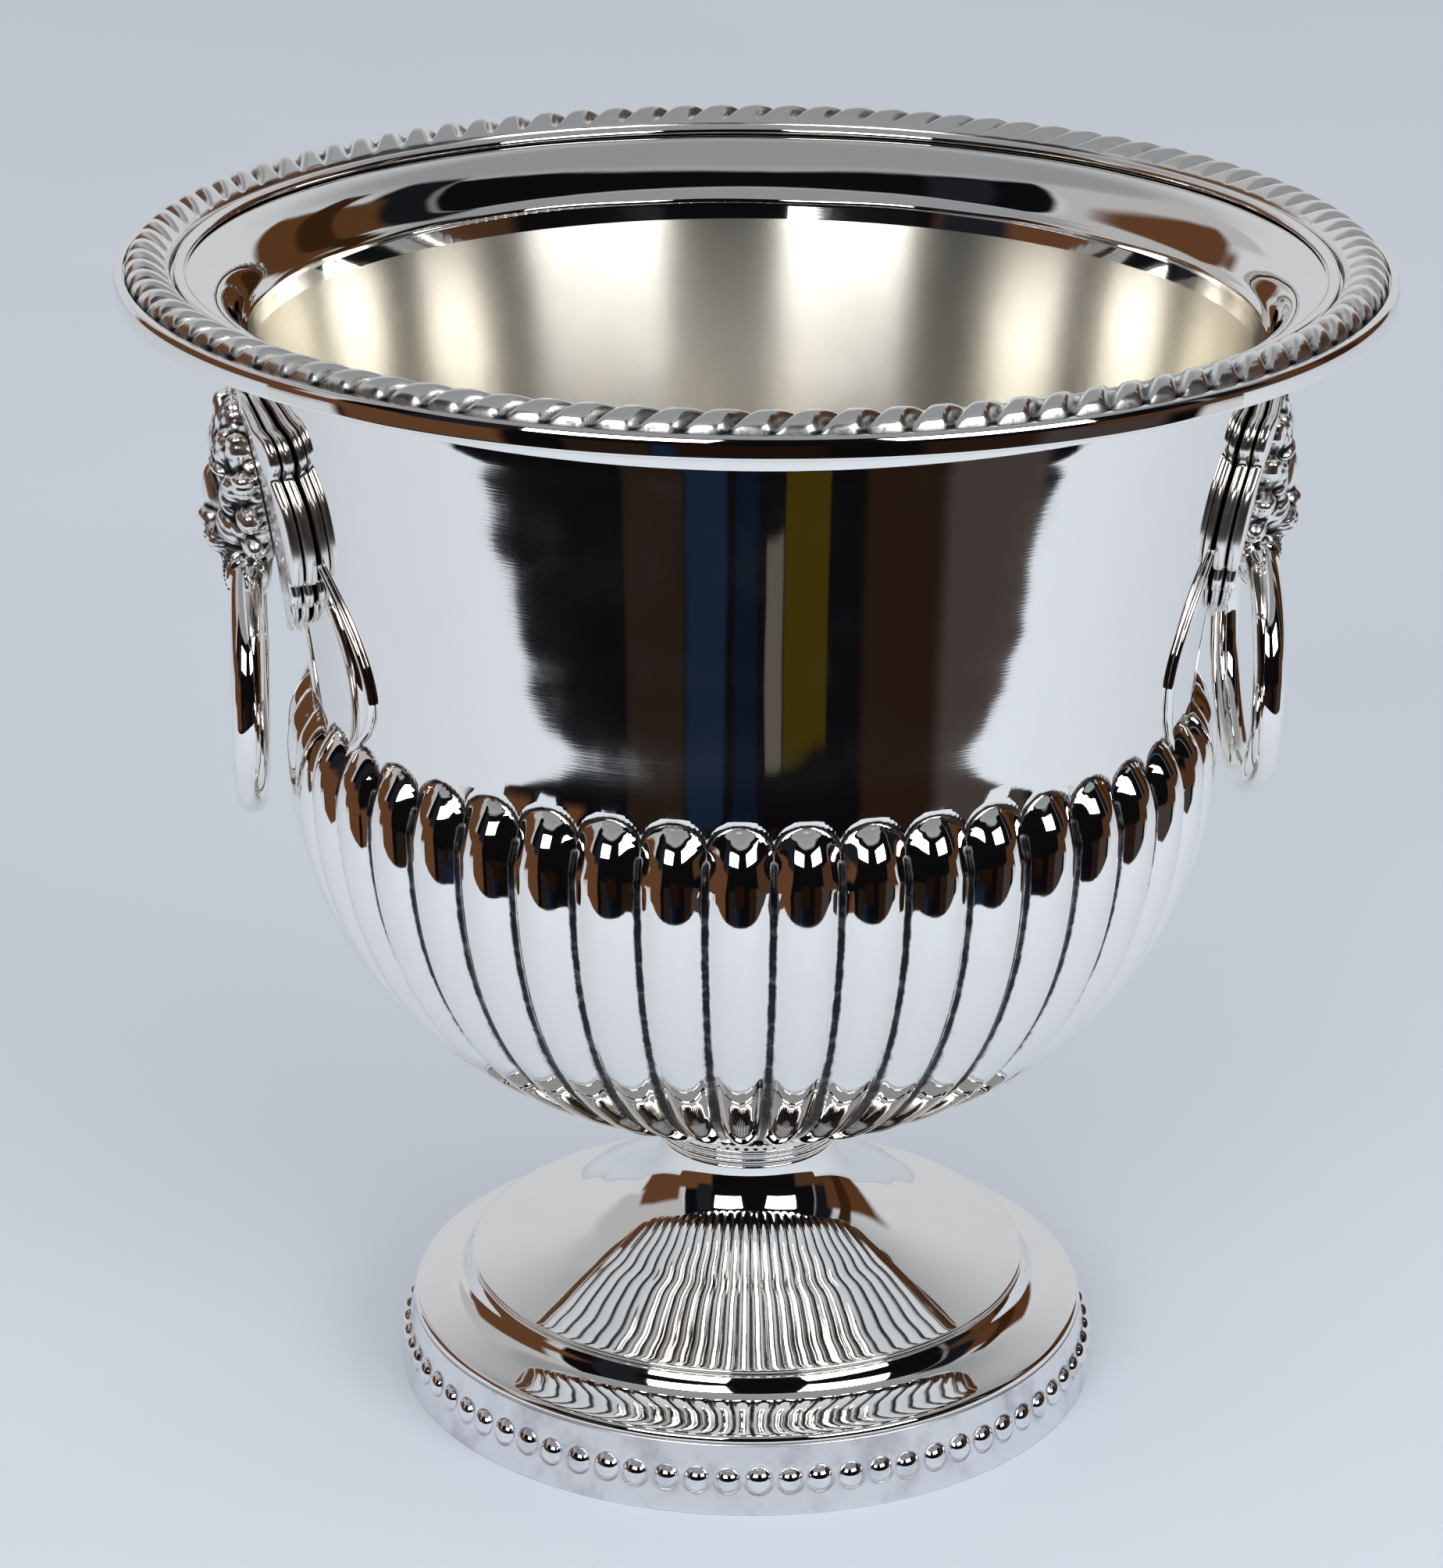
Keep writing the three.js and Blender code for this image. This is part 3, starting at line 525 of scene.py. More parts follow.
# right half of the cartouche's outline, from its lower tip to its crest, as (half width, height)
LOBES = [
    [(0, 166.6), (4.5, 167.6), (9.5, 170.2), (12.5, 173.4)],
    [(12.5, 173.4), (16.5, 172.9), (21, 174.6), (25, 177.6), (26.8, 181)],
    [(26.8, 181), (29.4, 180.9), (31.6, 183.4), (31.6, 187.2)],
    [(31.6, 187.2), (35.6, 187.6), (37.8, 192), (38.6, 198), (38.2, 204), (35.3, 209.6)],
    [(35.3, 209.6), (37.6, 211.6), (37.9, 215), (36, 217.8), (32, 218.6)],
    [(32, 218.6), (27, 220.6), (20, 221.6), (13, 220.6)],
    [(13, 220.6), (8, 221.9), (3, 222), (0, 221.4)],
]


def on_wall(along, z, lift):
    """Points laid on the wall: a distance around it, a height, and how far out from it."""
    radius = wall_radius(z)
    return wheel(radius + lift, z, along / radius)


def cartouche_outline(samples=320):
    """Reach of the outline from its centre at even angles, and the same with its clefts smoothed over."""
    line = np.vstack([spline(lobe, 10)[:-1] for lobe in LOBES] + [[LOBES[-1][-1]]])
    both = np.vstack([line, line[-2:0:-1] * [-1, 1]])
    angle = np.arctan2(both[:, 1] - PLATE_CENTRE_Z, both[:, 0])
    reach = np.hypot(both[:, 0], both[:, 1] - PLATE_CENTRE_Z)
    order = np.argsort(angle)
    turn = np.linspace(-math.pi, math.pi, samples, endpoint=False)
    edge = np.interp(turn, angle[order], reach[order], period=2 * math.pi)
    kernel = np.hanning(41)
    smooth = np.convolve(np.tile(edge, 3), kernel / kernel.sum(), "same")[samples:2 * samples]
    return turn, edge, smooth


def plate_half(along, z):
    """Thickness of one half of the cartouche: dished behind the ring."""
    spread = np.clip(np.hypot(along / 36, (z - 190) / 60), 0, 1)
    low = 1 - 0.35 * (1 - smoothstep(z, 168, 188))
    return 1.1 + 1.5 * spread**1.6 * low


def plate_front(along, z):
    return 2 * GAP + 2 * plate_half(along, z)


def cartouche_geometry(front):
    turn, edge, smooth = cartouche_outline()
    rows, recess = [], []
    shares = [0.02, 0.15, 0.3, 0.42, 0.52, 0.6, 0.66, 0.71, 0.755, 0.79, 0.82, 0.85, 0.875, 0.9, 0.92, 0.94,
              0.955, 0.966]
    lobe = np.clip((edge - smooth) / 2.2, -1, 1)

    def ring(share, layer, extra, dark):
        along = share * edge * np.cos(turn)
        z = PLATE_CENTRE_Z + share * edge * np.sin(turn)
        half = plate_half(along, z)
        rows.append(on_wall(along, z, GAP + layer[0] * half + layer[1] + extra))
        recess.append(np.broadcast_to(dark, turn.shape))

    top = (2, GAP) if front else (1, 0)
    low = (1, GAP) if front else (0, 0)
    for share in shares:
        vein = np.cos(turn * 22) * 0.2 * smoothstep(share, 0.5, 0.7) * (1 - smoothstep(share, 0.75, 0.88))
        curl = 0.25 * lobe * smoothstep(share, 0.6, 0.85) * (1 - smoothstep(share, 0.92, 0.965))
        hollow = np.clip(0.5 * (vein < -0.08) - lobe * 0.8 * smoothstep(share, 0.75, 0.95), 0, 1)
        ring(share, top, vein + curl if front else 0 * turn, hollow)
    # the edge is a little convex, so the two halves meet in one seam
    for height in (0.99, 0.95, 0.88, 0.78, 0.65, 0.5, 0.35, 0.22, 0.12, 0.05, 0.01):
        layer = [near + (far - near) * height for near, far in zip(low, top)]
        ring(0.972 + 0.033 * (1 - abs(2 * height - 1) ** 4), layer, 0.0, float(height < 0.04))
    for share in (0.9, 0.7, 0.4, 0.02):
        ring(share, low, 0.0, 1.0)
    middle = np.array([0.0]), np.array([PLATE_CENTRE_Z])
    ends = [on_wall(*middle, GAP + k * plate_half(0.0, PLATE_CENTRE_Z) + g)[0] for k, g in (top, low)]
    vertices, faces = shell(rows, poles=ends)
    return vertices, faces, np.concatenate([*recess, [0, 1]])


HEAD_MID = PIVOT_Z + 18.0
HEAD_SEAT = float(wall_radius(HEAD_MID)) + 3.1    # the face's plane is this far out from the wall
HEAD_LEAN = 0.13                                  # the head leans out with the wall


def head_masses():
    """The head's modelled masses: out, along, up, three radii, and turn in the face's plane."""
    masses = [
        (1.2, 0, -0.5, 6.0, 16.0, 17.0, 0), (3.8, 0, 2, 5.6, 9.6, 12.4, 0), (5.2, 0, 6.5, 4.6, 6.2, 6.4, 0),
        (7.4, 0, -3.5, 5.2, 3.6, 7.4, 0), (10.6, 0, -8.8, 3.8, 3.4, 3.0, 0), (9.0, 0, -12.4, 4.4, 3.0, 3.2, 0),
        (6.9, 0, -16.2, 4.3, 4.6, 2.6, 0), (4.5, 0, -14, 5.0, 7.5, 5.0, 0), (5.4, 0, 12.5, 2.6, 1.8, 5.2, 0),
    ]
    for side in (-1, 1):
        masses += [
            (8.9, side * 3.7, -12.0, 4.7, 4.0, 3.9, 0), (6.2, side * 7.0, -8.2, 4.2, 4.2, 4.6, 0),
            (7.4, side * 4.9, 4.0, 2.6, 4.0, 1.6, side * -0.45),
            (6.5, side * 5.2, 6.6, 2.4, 3.8, 1.5, side * -0.5),
            (6.9, side * 5.1, 0.9, 1.9, 1.9, 1.5, 0), (5.6, side * 8.6, -2.4, 3.2, 2.4, 4.6, side * 0.35),
            (2.8, side * 11.8, 8.6, 3.0, 3.2, 3.4, side * 0.5),
            (6.0, side * 2.2, 9.6, 2.6, 1.5, 4.2, side * -0.25),
            (5.2, side * 4.6, 11.4, 2.3, 1.5, 4.0, side * -0.5),
        ]
    for count, reach, out, size, thick in ((7, 10.8, 5.0, 4.6, 3.1), (11, 13.8, 3.0, 5.2, 3.1)):
        for k in range(count):
            angle = math.radians(-62 + 304 * (k + 0.5) / count)
            along, up = reach * math.cos(angle), reach * 1.04 * math.sin(angle)
            masses.append((out, along, up - 0.4, 2.9, size, thick, angle + 0.45 * math.copysign(1, along)))
    return masses


def ball(sides=14):
    """A unit ball's points and faces."""
    polar = np.linspace(0, math.pi, sides)[1:-1]
    turn = np.linspace(0, 2 * math.pi, 2 * sides, endpoint=False)
    rows = [wheel(r, z, turn) for r, z in zip(np.sin(polar), np.cos(polar))]
    return shell(rows, close_rows=False, poles=[(0, 0, 1), (0, 0, -1)])


def head_frame(points):
    """From the face's frame (out, along, up) to the cooler's."""
    out, along, up = points.T
    return np.stack([HEAD_SEAT + out + HEAD_LEAN * up, along, HEAD_MID + up], -1)


# the bar's bore through the jaw, and the room for the collars and the ring at both ends of it
RING_SPACE = [(0.01, -21.6), (4.8, -21.6), (4.8, -7.6), (2.7, -7.6), (2.7, 7.6), (4.8, 7.6), (4.8, 21.6),
              (0.01, 21.6)]


def lion_head_mesh():
    """The casting: masses melted together, chased, seated on the plate and bored for the ring."""
    vertices, faces = [], []
    ball_points, ball_faces = ball()

    def take(points, polygons):
        first = sum(len(v) for v in vertices)
        vertices.append(points)
        faces.extend([[first + k for k in polygon] for polygon in polygons])

    for out, along, up, rx, ry, rz, turn in head_masses():
        p = ball_points * [rx, ry, rz]
        c, s = math.cos(turn), math.sin(turn)
        p = np.stack([p[:, 0] + out, p[:, 1] * c - p[:, 2] * s + along, p[:, 1] * s + p[:, 2] * c + up], -1)
        take(head_frame(p), ball_faces)
    # the jaw's lug, a block with rounded edges around the pivot bar
    lug = rounded([(7.5, -7.6, 0.8), (7.5, 7.6, 0.8), (0.02, 7.6, 0), (0.02, -7.6, 0)], 3)
    angle = np.linspace(0, 2 * math.pi, 48, endpoint=False)
    rows = np.stack([PIVOT_R + np.outer(lug[:, 0] * 0.68, np.sin(angle)), np.outer(lug[:, 1], np.ones(48)),
                     PIVOT_Z + np.outer(lug[:, 0], np.cos(angle))], -1)
    take(*shell(rows))
    raw = mesh_of("lion head masses", (np.vstack(vertices), faces))
    work = new_object("lion head masses", raw)
    melt = work.modifiers.new("melt", "REMESH")
    melt.mode, melt.voxel_size, melt.use_smooth_shade = "VOXEL", 0.3 * MM, True
    melted = bpy.data.meshes.new_from_object(work.evaluated_get(bpy.context.evaluated_depsgraph_get()))
    bpy.data.objects.remove(work)

    chase_head(melted)
    cutter = mesh_of("ring space", turned(RING_SPACE, 48))
    cutter.transform(Matrix.Translation((PIVOT_R * MM, 0, PIVOT_Z * MM)) @ Matrix.Rotation(math.pi / 2, 4, "X"))
    return cut(melted, cutter)


def cut(mesh, cutter_mesh):
    """A mesh less a cutter."""
    body, cutter = new_object("work", mesh), new_object("cutter", cutter_mesh)
    less = body.modifiers.new("less", "BOOLEAN")
    less.operation, less.solver, less.object = "DIFFERENCE", "EXACT", cutter
    bpy.context.view_layer.update()
    result = bpy.data.meshes.new_from_object(body.evaluated_get(bpy.context.evaluated_depsgraph_get()))
    for thing in (body, cutter):
        bpy.data.objects.remove(thing)
    return result


def soften(work, times):
    for _ in range(times):
        bmesh.ops.smooth_vert(
            work, verts=work.verts, factor=0.5, use_axis_x=True, use_axis_y=True, use_axis_z=True)


def chase_head(mesh):
    """Moves the points in along strands of mane and whisker lines, and seats the back on the plate."""
    work = bmesh.new()
    work.from_mesh(mesh)
    soften(work, 10)
    work.normal_update()
    co = np.array([v.co for v in work.verts]) / MM
    normal = np.array([v.normal for v in work.verts])
    up = co[:, 2] - HEAD_MID
    along = co[:, 1]
    out = co[:, 0] - HEAD_SEAT - HEAD_LEAN * up
    reach, angle = np.hypot(along, up), np.arctan2(up, along)
    swirl = angle * 42 + 0.5 * reach + 1.4 * np.sin(angle * 5)
    mane = smoothstep(reach, 9, 11.5) * smoothstep(up, -17, -11)
    strands = (0.5 - 0.5 * np.cos(swirl)) ** 2 * mane
    muzzle = smoothstep(out, 8, 9.5) * smoothstep(-up, 9.5, 10.5) * smoothstep(np.abs(along), 2.2, 3.2)
    whiskers = (0.5 - 0.5 * np.cos((up + 0.25 * np.abs(along)) * 6.5)) ** 2 * muzzle
    brow = smoothstep(up, 2.5, 4) * (1 - smoothstep(reach, 9, 12)) * smoothstep(np.abs(along), 0.8, 1.6)
    hairs = (0.5 - 0.5 * np.cos(np.abs(along) * 5.2 + up * 1.6)) ** 2 * brow
    depth = 0.2 * strands + 0.13 * whiskers + 0.12 * hairs
    co -= normal * depth[:, None]
    lift = plate_front(co[:, 1], co[:, 2]) + GAP
    turn = np.arcsin(np.clip(co[:, 1] / 100, -1, 1))
    co[:, 0] = np.maximum(co[:, 0], (wall_radius(co[:, 2]) + lift) * np.cos(turn))
    for v, p in zip(work.verts, co * MM):
        v.co = p
    work.to_mesh(mesh)
    work.free()


def occlude(mesh):
    """Writes at each point how hollow the surface is there, for the oxide: its depth under a smoothed copy."""
    work = bmesh.new()
    work.from_mesh(mesh)
    work.verts.ensure_lookup_table()
    sharp = np.array([v.co for v in work.verts])
    normal = np.array([v.normal for v in work.verts])
    soften(work, 28)
    soft = np.array([v.co for v in work.verts])
    work.free()
    hollow = ((soft - sharp) * normal).sum(1) / MM
    value = np.clip(hollow / 0.2 + 0.52, 0, 1)
    attribute = mesh.attributes.new("recess", "FLOAT", "POINT")
    attribute.data.foreach_set("value", np.ascontiguousarray(value, dtype=np.float32))


def ring_geometry(sizes):
    """A round bar bent to a ring, with turned collars and a straight thinner bar through the jaw."""
    tube, collar, bar, reach, half = sizes.ring_tube / MM, 4.3, 2.2, 25.6, 8.2
    open_turn = math.asin(half / reach)
    centre_z = PIVOT_Z - reach * math.cos(open_turn)
    stations = []
    for turn, radius, tilt in (
            [(open_turn, bar + 0.2, 0), (open_turn, collar - 0.35, 0), (open_turn + 0.012, collar, 0.02),
             (open_turn + 0.07, collar, 0.12), (open_turn + 0.085, collar - 0.4, 0.16),
             (open_turn + 0.09, tube + 0.15, 0.2), (open_turn + 0.11, tube, 0.3)]
            + [(t, tube, t) for t in np.linspace(open_turn + 0.14, math.pi, 72)]):
        stations.append((turn, radius, tilt))
    stations += [(2 * math.pi - t, r, 2 * math.pi - k) for t, r, k in reversed(stations[:-1])]
    bar_rows = [(y, bar) for y in np.linspace(-half + 0.01, half - 0.01, 8)]
    sides = np.linspace(0, 2 * math.pi, 28, endpoint=False)
    rows = []
    for turn, radius, tilt in stations:
        out, side = radius * np.cos(sides), radius * np.sin(sides)
        rows.append(np.stack([PIVOT_R + side, reach * math.sin(turn) + out * math.sin(tilt),
                              centre_z + reach * math.cos(turn) + out * math.cos(tilt)], -1))
    for y, radius in bar_rows:
        rows.append(np.stack([PIVOT_R + radius * np.sin(sides), np.full_like(sides, y),
                              PIVOT_Z + radius * np.cos(sides)], -1))
    return shell(rows)


ARCH_R = 90.7                        # the wall's radius at the arches
WIRE_TURN = 50.2                     # how far around the wire starts for its valley


def wire_geometry(side, right):
    """A half-round wire from the cartouche's edge down to the valley between two arches."""
    foot = (3.5 if right else 3.0) * PITCH * ARCH_R
    path = [(38.4, 192.0), (42.6, 187.5), (46.8, 182), (50.0, 175), (51.0, 169), (WIRE_TURN, 164.5)]
    last = ((0.78, 160.6), (0.46, 157.2), (0.16, 154.4), (0.0, 152.4))
    path += [(foot + (WIRE_TURN - foot) * share, z) for share, z in last]
    line = spline(path, 8)
    step = np.gradient(line, axis=0)
    step /= np.linalg.norm(step, axis=1)[:, None]
    share = np.linspace(0, 1, len(line))
    swell = 0.55 + 0.45 * np.sin(np.pi * np.clip(share * 0.9 + 0.1, 0, 1))
    width = 0.95 * swell * (1 - 0.75 * smoothstep(share, 0.86, 1.0))
    turn = np.linspace(0, math.pi, 11)
    across = np.concatenate([np.cos(turn), [-0.5, 0.5]])
    up = np.concatenate([np.sin(turn) * 1.15 + 0.1, [0, 0]])
    rows = []
    for (a, z), (ta, tz), w, s in zip(line, step, width, share):
        lift = GAP * 0.4 + 0.45 * smoothstep(s, 0.8, 1.0) + up * w
        rows.append(on_wall(side * (a + across * w * tz), z - across * w * ta, lift))
    rows = np.array(rows)
    return shell(rows, close_rows=False, poles=[rows[0].mean(0), rows[-1].mean(0)])


# ---------- operators ----------
# each side's name, and whether it's the right-hand side turned half round
SIDES = (("right", False), ("left", True))


class COOLER_OT_bowl(bpy.types.Operator):
    """Raises and flutes the bowl"""

    bl_idname = "cooler.bowl"
    bl_label = "Bowl"

    def execute(self, context):
        metal = silvers()
        vertices, faces, recess, lining_from = bowl_geometry(context.scene.cooler_sizes)
        mesh = mesh_of("bowl", (vertices, faces), {"recess": recess})
        mesh.materials.append(metal["polished"])
        mesh.materials.append(metal["lining"])
        inside = [min(p.vertices) >= lining_from for p in mesh.polygons]
        mesh.polygons.foreach_set("material_index", [int(k) for k in inside])
        add_piece("fluted_bowl", mesh, metal["polished"], "bowl", BODY)
        return {"FINISHED"}


class COOLER_OT_rim(bpy.types.Operator):
    """Makes the rim's band, gadroon border and fillet wire"""

    bl_idname = "cooler.rim"
    bl_label = "Rim"

    def execute(self, context):
        metal = silvers()
        band = mesh_of("rim band", turned(rounded(RIM_BAND, 5), 360))
        add_piece("rim_edge_band", band, metal["polished"], "rim_band", BODY)
        fillet = mesh_of("rim fillet", turned(rounded(RIM_FILLET, 4), 360))
        add_piece("rim_fillet_wire", fillet, metal["polished"], "rim_fillet", BODY)
        vertices, faces, recess = gadroon_geometry(context.scene.cooler_sizes)
        border = mesh_of("gadroon border", (vertices, faces), {"recess": recess})
        add_piece("rim_gadroons", border, metal["cast"], "gadroon_border", BODY)
        return {"FINISHED"}


class COOLER_OT_foot(bpy.types.Operator):
    """Turns the collar, pedestal, moulding and beaded band"""

    bl_idname = "cooler.foot"
    bl_label = "Foot"

    def execute(self, context):
        metal = silvers()
        for name, node, outline in (
                ("stem_collar", "neck_collar", rounded(NECK_COLLAR)),
                ("trumpet_pedestal", "pedestal", pedestal_outline()),
                ("foot_moulding", "base_moulding", np.vstack([spline(MOULDING_FACE, 4), MOULDING_UNDERSIDE]))):
            add_piece(name, mesh_of(name, turned(outline)), metal["polished"], node, BODY)
        vertices, faces, recess, polish = bead_band_geometry(context.scene.cooler_sizes)
        band = mesh_of("beaded band", (vertices, faces), {"recess": recess, "polish": polish})
        add_piece("foot_beaded_band", band, metal["satin"], "bead_band", BODY)
        return {"FINISHED"}


class COOLER_OT_cartouches(bpy.types.Operator):
    """Makes the scalloped cartouches, front and back halves, on both sides"""

    bl_idname = "cooler.cartouches"
    bl_label = "Cartouches"

    def execute(self, context):
        metal = silvers()
        for side, turn in SIDES:
            for part, front in (("backing", False), ("plate", True)):
                vertices, faces, recess = cartouche_geometry(front)
                mesh = mesh_of(f"cartouche {part}", (vertices, faces), {"recess": recess})
                add_piece(f"{side}_cartouche_{part}", mesh, metal["cast"], f"{side}_mask_{part}", BODY,
                          turn)
        return {"FINISHED"}


class COOLER_OT_lions(bpy.types.Operator):
    """Casts and chases the two lion heads"""

    bl_idname = "cooler.lions"
    bl_label = "Lion heads"

    def execute(self, context):
        metal = silvers()
        head = lion_head_mesh()
        face_outward(head)
        occlude(head)
        head.polygons.foreach_set("use_smooth", [True] * len(head.polygons))
        for side, turn in SIDES:
            add_piece(f"{side}_lion_mask", head.copy(), metal["cast"], f"{side}_lion_head", BODY,
                      turn)
        return {"FINISHED"}


class COOLER_OT_rings(bpy.types.Operator):
    """Bends the two drop rings, which swing on their bars"""

    bl_idname = "cooler.rings"
    bl_label = "Drop rings"

    def execute(self, context):
        metal = silvers()
        for side, turn in SIDES:
            mesh = mesh_of("drop ring", ring_geometry(context.scene.cooler_sizes))
            add_piece(f"{side}_ring", mesh, metal["polished"], f"{side}_drop_ring", f"{side}_ring",
                      turn)
        return {"FINISHED"}


class COOLER_OT_wires(bpy.types.Operator):
    """Lays the four arch wires on the wall"""

    bl_idname = "cooler.wires"
    bl_label = "Arch wires"

    def execute(self, context):
        metal = silvers()
        for name, turn in SIDES:
            for place, side in (("front", 1 if turn else -1), ("rear", -1 if turn else 1)):
                mesh = mesh_of("arch wire", wire_geometry(side, not turn))
                add_piece(f"{name}_{place}_wire", mesh, metal["polished"], f"{name}_{place}_arch_wire", BODY,
                          turn)
        return {"FINISHED"}


# ---------- stage ----------
HANDLE_TURN = math.radians(4.75)     # how far the handles are turned from square to the viewer
CAMERA_BACK, CAMERA_HEIGHT = 0.9177, 0.4787
PITCH_DOWN, YAW, ROLL = (math.radians(a) for a in (20.773, -0.387, 0.417))


def facing_viewer(x, y, z=0.0):
    """A point given with the viewer straight ahead at -Y, in the cooler's own frame."""
    return Matrix.Rotation(-HANDLE_TURN, 3, "Z") @ Vector((x, y, z))


def add_camera():
    level = math.cos(PITCH_DOWN)
    forward = Vector((math.sin(YAW) * level, math.cos(YAW) * level, -math.sin(PITCH_DOWN)))
    right = Vector((math.cos(YAW), -math.sin(YAW), 0))
    upward = right.cross(forward)
    across = math.cos(ROLL) * right + math.sin(ROLL) * upward
    upright = -math.sin(ROLL) * right + math.cos(ROLL) * upward
    camera = bpy.data.cameras.new("camera")
    camera.sensor_width, camera.lens = 36, 108.41
    seat = new_object("camera", camera)
    turned_axes = Matrix.Rotation(-HANDLE_TURN, 3, "Z") @ Matrix((across, upright, -forward)).transposed()
    seat.matrix_world = Matrix.Translation(facing_viewer(0, -CAMERA_BACK, CAMERA_HEIGHT)) @ turned_axes.to_4x4()
    bpy.context.scene.camera = seat


def table_material():
    """Matt pale covering: a smooth painted board, with faint clouding."""
    material = bpy.data.materials.new("matt painted board")
    material.use_nodes = True
    tree = material.node_tree
    shader = tree.nodes["Principled BSDF"]
    place = add_node(tree, "ShaderNodeTexCoord").outputs["Object"]
    cloud = add_node(tree, "ShaderNodeTexNoise", {"Vector": place, "Scale": 4.0, "Detail": 3.0})
    base = bpy.context.scene.cooler_colours.table
    dim = [c * 0.93 for c in base[:3]] + [1]
    colour = add_node(tree, "ShaderNodeMix", {0: cloud.outputs["Fac"], 6: dim, 7: base}, data_type="RGBA")
    tree.links.new(colour.outputs[2], shader.inputs["Base Color"])
    shader.inputs["Roughness"].default_value = 0.85
    shader.inputs["Specular IOR Level"].default_value = 0.2
    return material


def add_table():
    """The table. Its edge in front of the cooler is near, and what lies beyond it is dark in the silver."""
    xs = np.linspace(-3, 3, 121)
    edge = np.minimum(-0.337 + 1.447 * xs**2 + 0.017 * xs, -0.03)
    material = table_material()
    end = np.full_like(xs, 6.0)
    for name, near, far in (("table_top", edge, end), ("table_front", -end, edge)):
        points = [facing_viewer(x, y) for line in (near, far) for x, y in zip(xs, line)]
        count = len(xs)
        faces = [[k, k + 1, count + k + 1, count + k] for k in range(count - 1)]
        mesh = bpy.data.meshes.new(name)
        mesh.from_pydata(points, [], faces)
        mesh.materials.append(material)
        top = new_object(name, mesh)
        top.visible_glossy = name == "table_top"


# what the silver mirrors around it, in degrees to the viewer's right and up, over the table's edge:
# (left, right, low, high, softness, colour)
ROOM = [
    (-78, 84, -90, 42, 3, "#0B0A0C"), (-33, -18, -60, -12, 2, "#241B16"),
    (-17.5, -7, -60, -14, 1.5, "#142034"), (-4.5, 1.5, -60, -14, 1.5, "#0C1422"),
    (3.8, 8.2, -42, -34, 0.6, "#57524B"), (8.6, 19.5, -43.5, -34, 0.6, "#3A3008"),
    (29, 50, -60, -8, 3, "#251812"), (50, 76, -60, -8, 5, "#413936"), (-14, 12, -24, -6, 3, "#1E110C"),
    (84, 106, -10, 46, 6, "#15161A"), (60, 146, -14, 8, 5, "#4A3222"), (100, 146, 4, 30, 5, "#553720"),
    (-150, -80, 14, 42, 6, "#B4B4B6"), (-132, -86, 8, 26, 5, "#5E3E28"), (-136, -44, -14, 12, 5, "#5E3E28"),
    (-76, -44, -27, -10, 3, "#5E3E28"), (-62, -44, 5, 40, 5, "#1C1E24"), (115, 128, -10, 40, 3, "#33200F"),
]


def add_world():
    scene = bpy.context.scene
    world = bpy.data.worlds.new("room")
    scene.world = world
    world.use_nodes = True
    tree = world.node_tree
    shader = tree.nodes["Background"]
    direction = add_node(tree, "ShaderNodeTexCoord").outputs["Generated"]
    wander = add_node(tree, "ShaderNodeTexNoise", {"Vector": direction, "Scale": 3.0, "Detail": 2.0})
    shifted = add_node(tree, "ShaderNodeVectorMath", {
        0: wander.outputs["Color"], 1: (0.05, 0.05, 0.05), 2: direction}, operation="MULTIPLY_ADD")
    # the noise lies around a half
    shifted = add_node(tree, "ShaderNodeVectorMath", {
        0: shifted.outputs[0], 1: (0.025, 0.025, 0.025)}, operation="SUBTRACT")
    faced = add_node(tree, "ShaderNodeVectorRotate", {
        "Vector": shifted.outputs[0], "Angle": HANDLE_TURN}, rotation_type="Z_AXIS")
    parts = add_node(tree, "ShaderNodeSeparateXYZ", {"Vector": faced.outputs[0]})
    back = add_node(tree, "ShaderNodeMath", {0: parts.outputs["Y"], 1: -1.0}, operation="MULTIPLY")
    azimuth = add_node(tree, "ShaderNodeMath", {0: parts.outputs["X"], 1: back.outputs[0]}, operation="ARCTAN2")
    azimuth = add_node(tree, "ShaderNodeMath", {0: azimuth.outputs[0], 1: 180 / math.pi}, operation="MULTIPLY")
    height = add_node(tree, "ShaderNodeMath", {0: parts.outputs["Z"]}, operation="ARCSINE")
    height = add_node(tree, "ShaderNodeMath", {0: height.outputs[0], 1: 180 / math.pi}, operation="MULTIPLY")

    # a white tent, greyer overhead
    upward = add_node(tree, "ShaderNodeMapRange", {
        "Value": height.outputs[0], "From Min": 22, "From Max": 52}, interpolation_type="SMOOTHSTEP")
    tent = add_node(tree, "ShaderNodeMix", {
        0: upward.outputs["Result"], 6: srgb("#CDD0D5"), 7: srgb("#929498")}, data_type="RGBA").outputs[2]
    for left, right, low, high, soft, colour in ROOM:
        mask = None
        for value, place, half in ((azimuth, left, soft / 2), (azimuth, right, -soft / 2),
                                   (height, low, soft / 2), (height, high, -soft / 2)):
            step = add_node(tree, "ShaderNodeMapRange", {
                "Value": value.outputs[0], "From Min": place - half, "From Max": place + half},
                interpolation_type="SMOOTHSTEP").outputs["Result"]
            if mask is None:
                mask = step
            else:
                mask = add_node(tree, "ShaderNodeMath", {0: mask, 1: step}, operation="MULTIPLY").outputs[0]
        tent = add_node(tree, "ShaderNodeMix", {0: mask, 6: tent, 7: srgb(colour)}, data_type="RGBA").outputs[2]
    rays = add_node(tree, "ShaderNodeLightPath")
    seen = add_node(tree, "ShaderNodeMix", {
        0: rays.outputs["Is Glossy Ray"], 6: (0.68, 0.68, 0.68, 1), 7: tent}, data_type="RGBA").outputs[2]
    seen = add_node(tree, "ShaderNodeMix", {
        0: rays.outputs["Is Camera Ray"], 6: seen, 7: srgb("#CCD4DE")}, data_type="RGBA").outputs[2]
    tree.links.new(seen, shader.inputs["Color"])
    shader.inputs["Strength"].default_value = 1.0


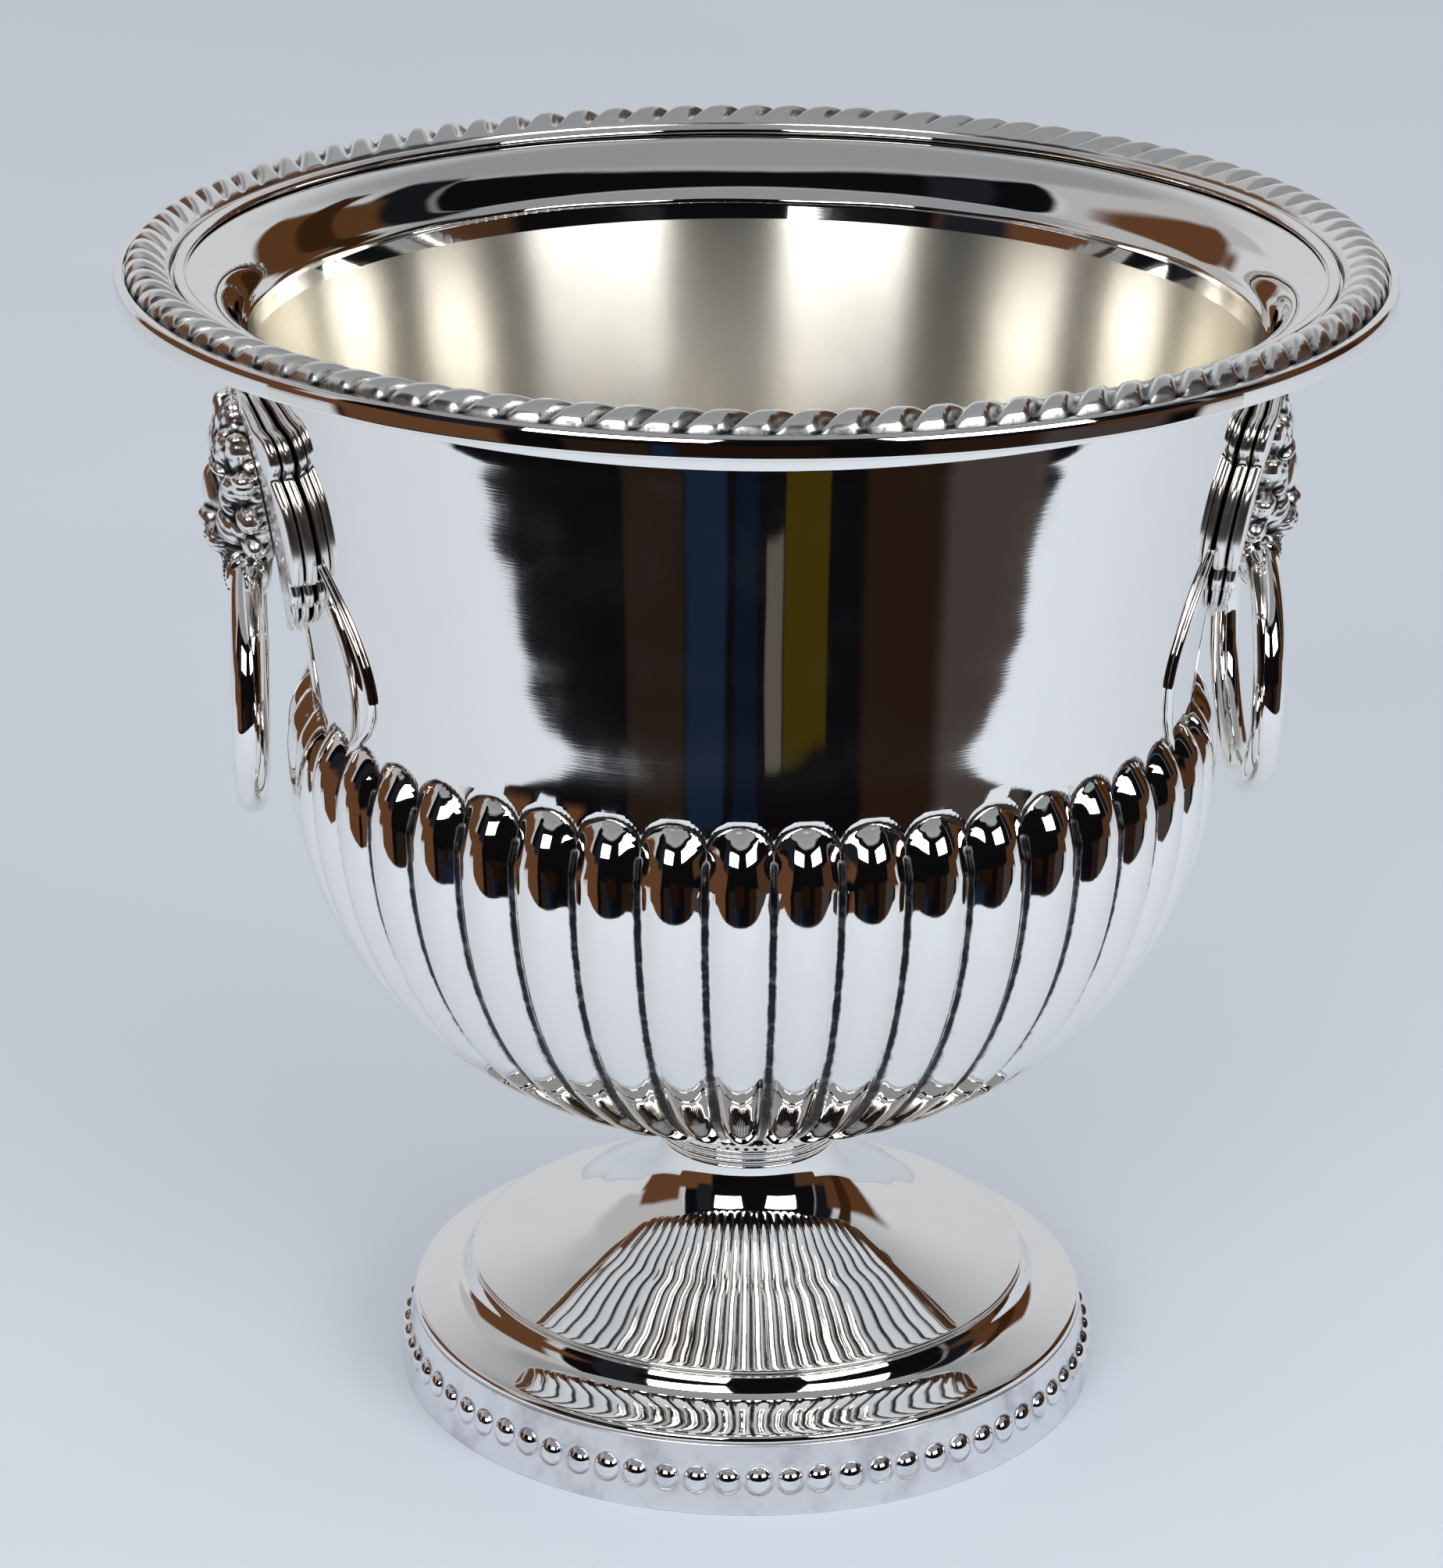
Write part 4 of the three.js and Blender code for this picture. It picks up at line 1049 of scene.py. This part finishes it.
# degrees to the viewer's right and width of each lamp
LAMPS = ((-23, 0.85), (41, 0.95))
LAMP_UP, LAMP_HEIGHT, LAMP_DISTANCE = math.radians(25.5), 0.5, 1.6
LAMP_RADIANCE = 6.0
AIM = Vector((0, 0, 0.15))           # the lamps face this point


def add_softboxes():
    """Two broad lamps over the viewer's shoulders."""
    for azimuth, width in LAMPS:
        a, h = math.radians(azimuth), LAMP_UP
        way = facing_viewer(math.sin(a) * math.cos(h), -math.cos(a) * math.cos(h), math.sin(h))
        light = bpy.data.lights.new("softbox", "AREA")
        light.shape, light.size, light.size_y = "RECTANGLE", width, LAMP_HEIGHT
        light.energy = LAMP_RADIANCE * math.pi * width * LAMP_HEIGHT
        lamp = new_object("softbox", light)
        lamp.location = AIM + way * LAMP_DISTANCE
        lamp.rotation_euler = way.to_track_quat("Z", "Y").to_euler()
        lamp.visible_camera = False


class COOLER_OT_stage(bpy.types.Operator):
    """Sets the table, the room that the silver mirrors, the lamps and the camera"""

    bl_idname = "cooler.stage"
    bl_label = "Stage"

    def execute(self, context):
        add_camera()
        add_table()
        add_world()
        add_softboxes()
        context.scene.view_settings.view_transform = "Standard"
        return {"FINISHED"}


class COOLER_PT_panel(bpy.types.Panel):
    """The cooler's sizes, colours and operators"""

    bl_label = "Silver wine cooler"
    bl_idname = "COOLER_PT_panel"
    bl_space_type = "VIEW_3D"
    bl_region_type = "UI"
    bl_category = "Wine cooler"

    def draw(self, context):
        for group in (context.scene.cooler_sizes, context.scene.cooler_colours):
            box = self.layout.box()
            for key in group.__annotations__:
                box.prop(group, key)
        for operator in OPERATORS:
            self.layout.operator(operator.bl_idname)


OPERATORS = (COOLER_OT_bowl, COOLER_OT_rim, COOLER_OT_foot, COOLER_OT_cartouches, COOLER_OT_lions,
             COOLER_OT_rings, COOLER_OT_wires, COOLER_OT_stage)
CLASSES = (CoolerSizes, CoolerColours, *OPERATORS, COOLER_PT_panel)


def register():
    for cls in CLASSES:
        bpy.utils.register_class(cls)
    bpy.types.Scene.cooler_sizes = bpy.props.PointerProperty(type=CoolerSizes)
    bpy.types.Scene.cooler_colours = bpy.props.PointerProperty(type=CoolerColours)


def unregister():
    del bpy.types.Scene.cooler_colours
    del bpy.types.Scene.cooler_sizes
    for cls in reversed(CLASSES):
        bpy.utils.unregister_class(cls)


def main():
    register()
    for operator in OPERATORS:
        group, name = operator.bl_idname.split(".")
        getattr(getattr(bpy.ops, group), name)()


if __name__ == "__main__":
    main()
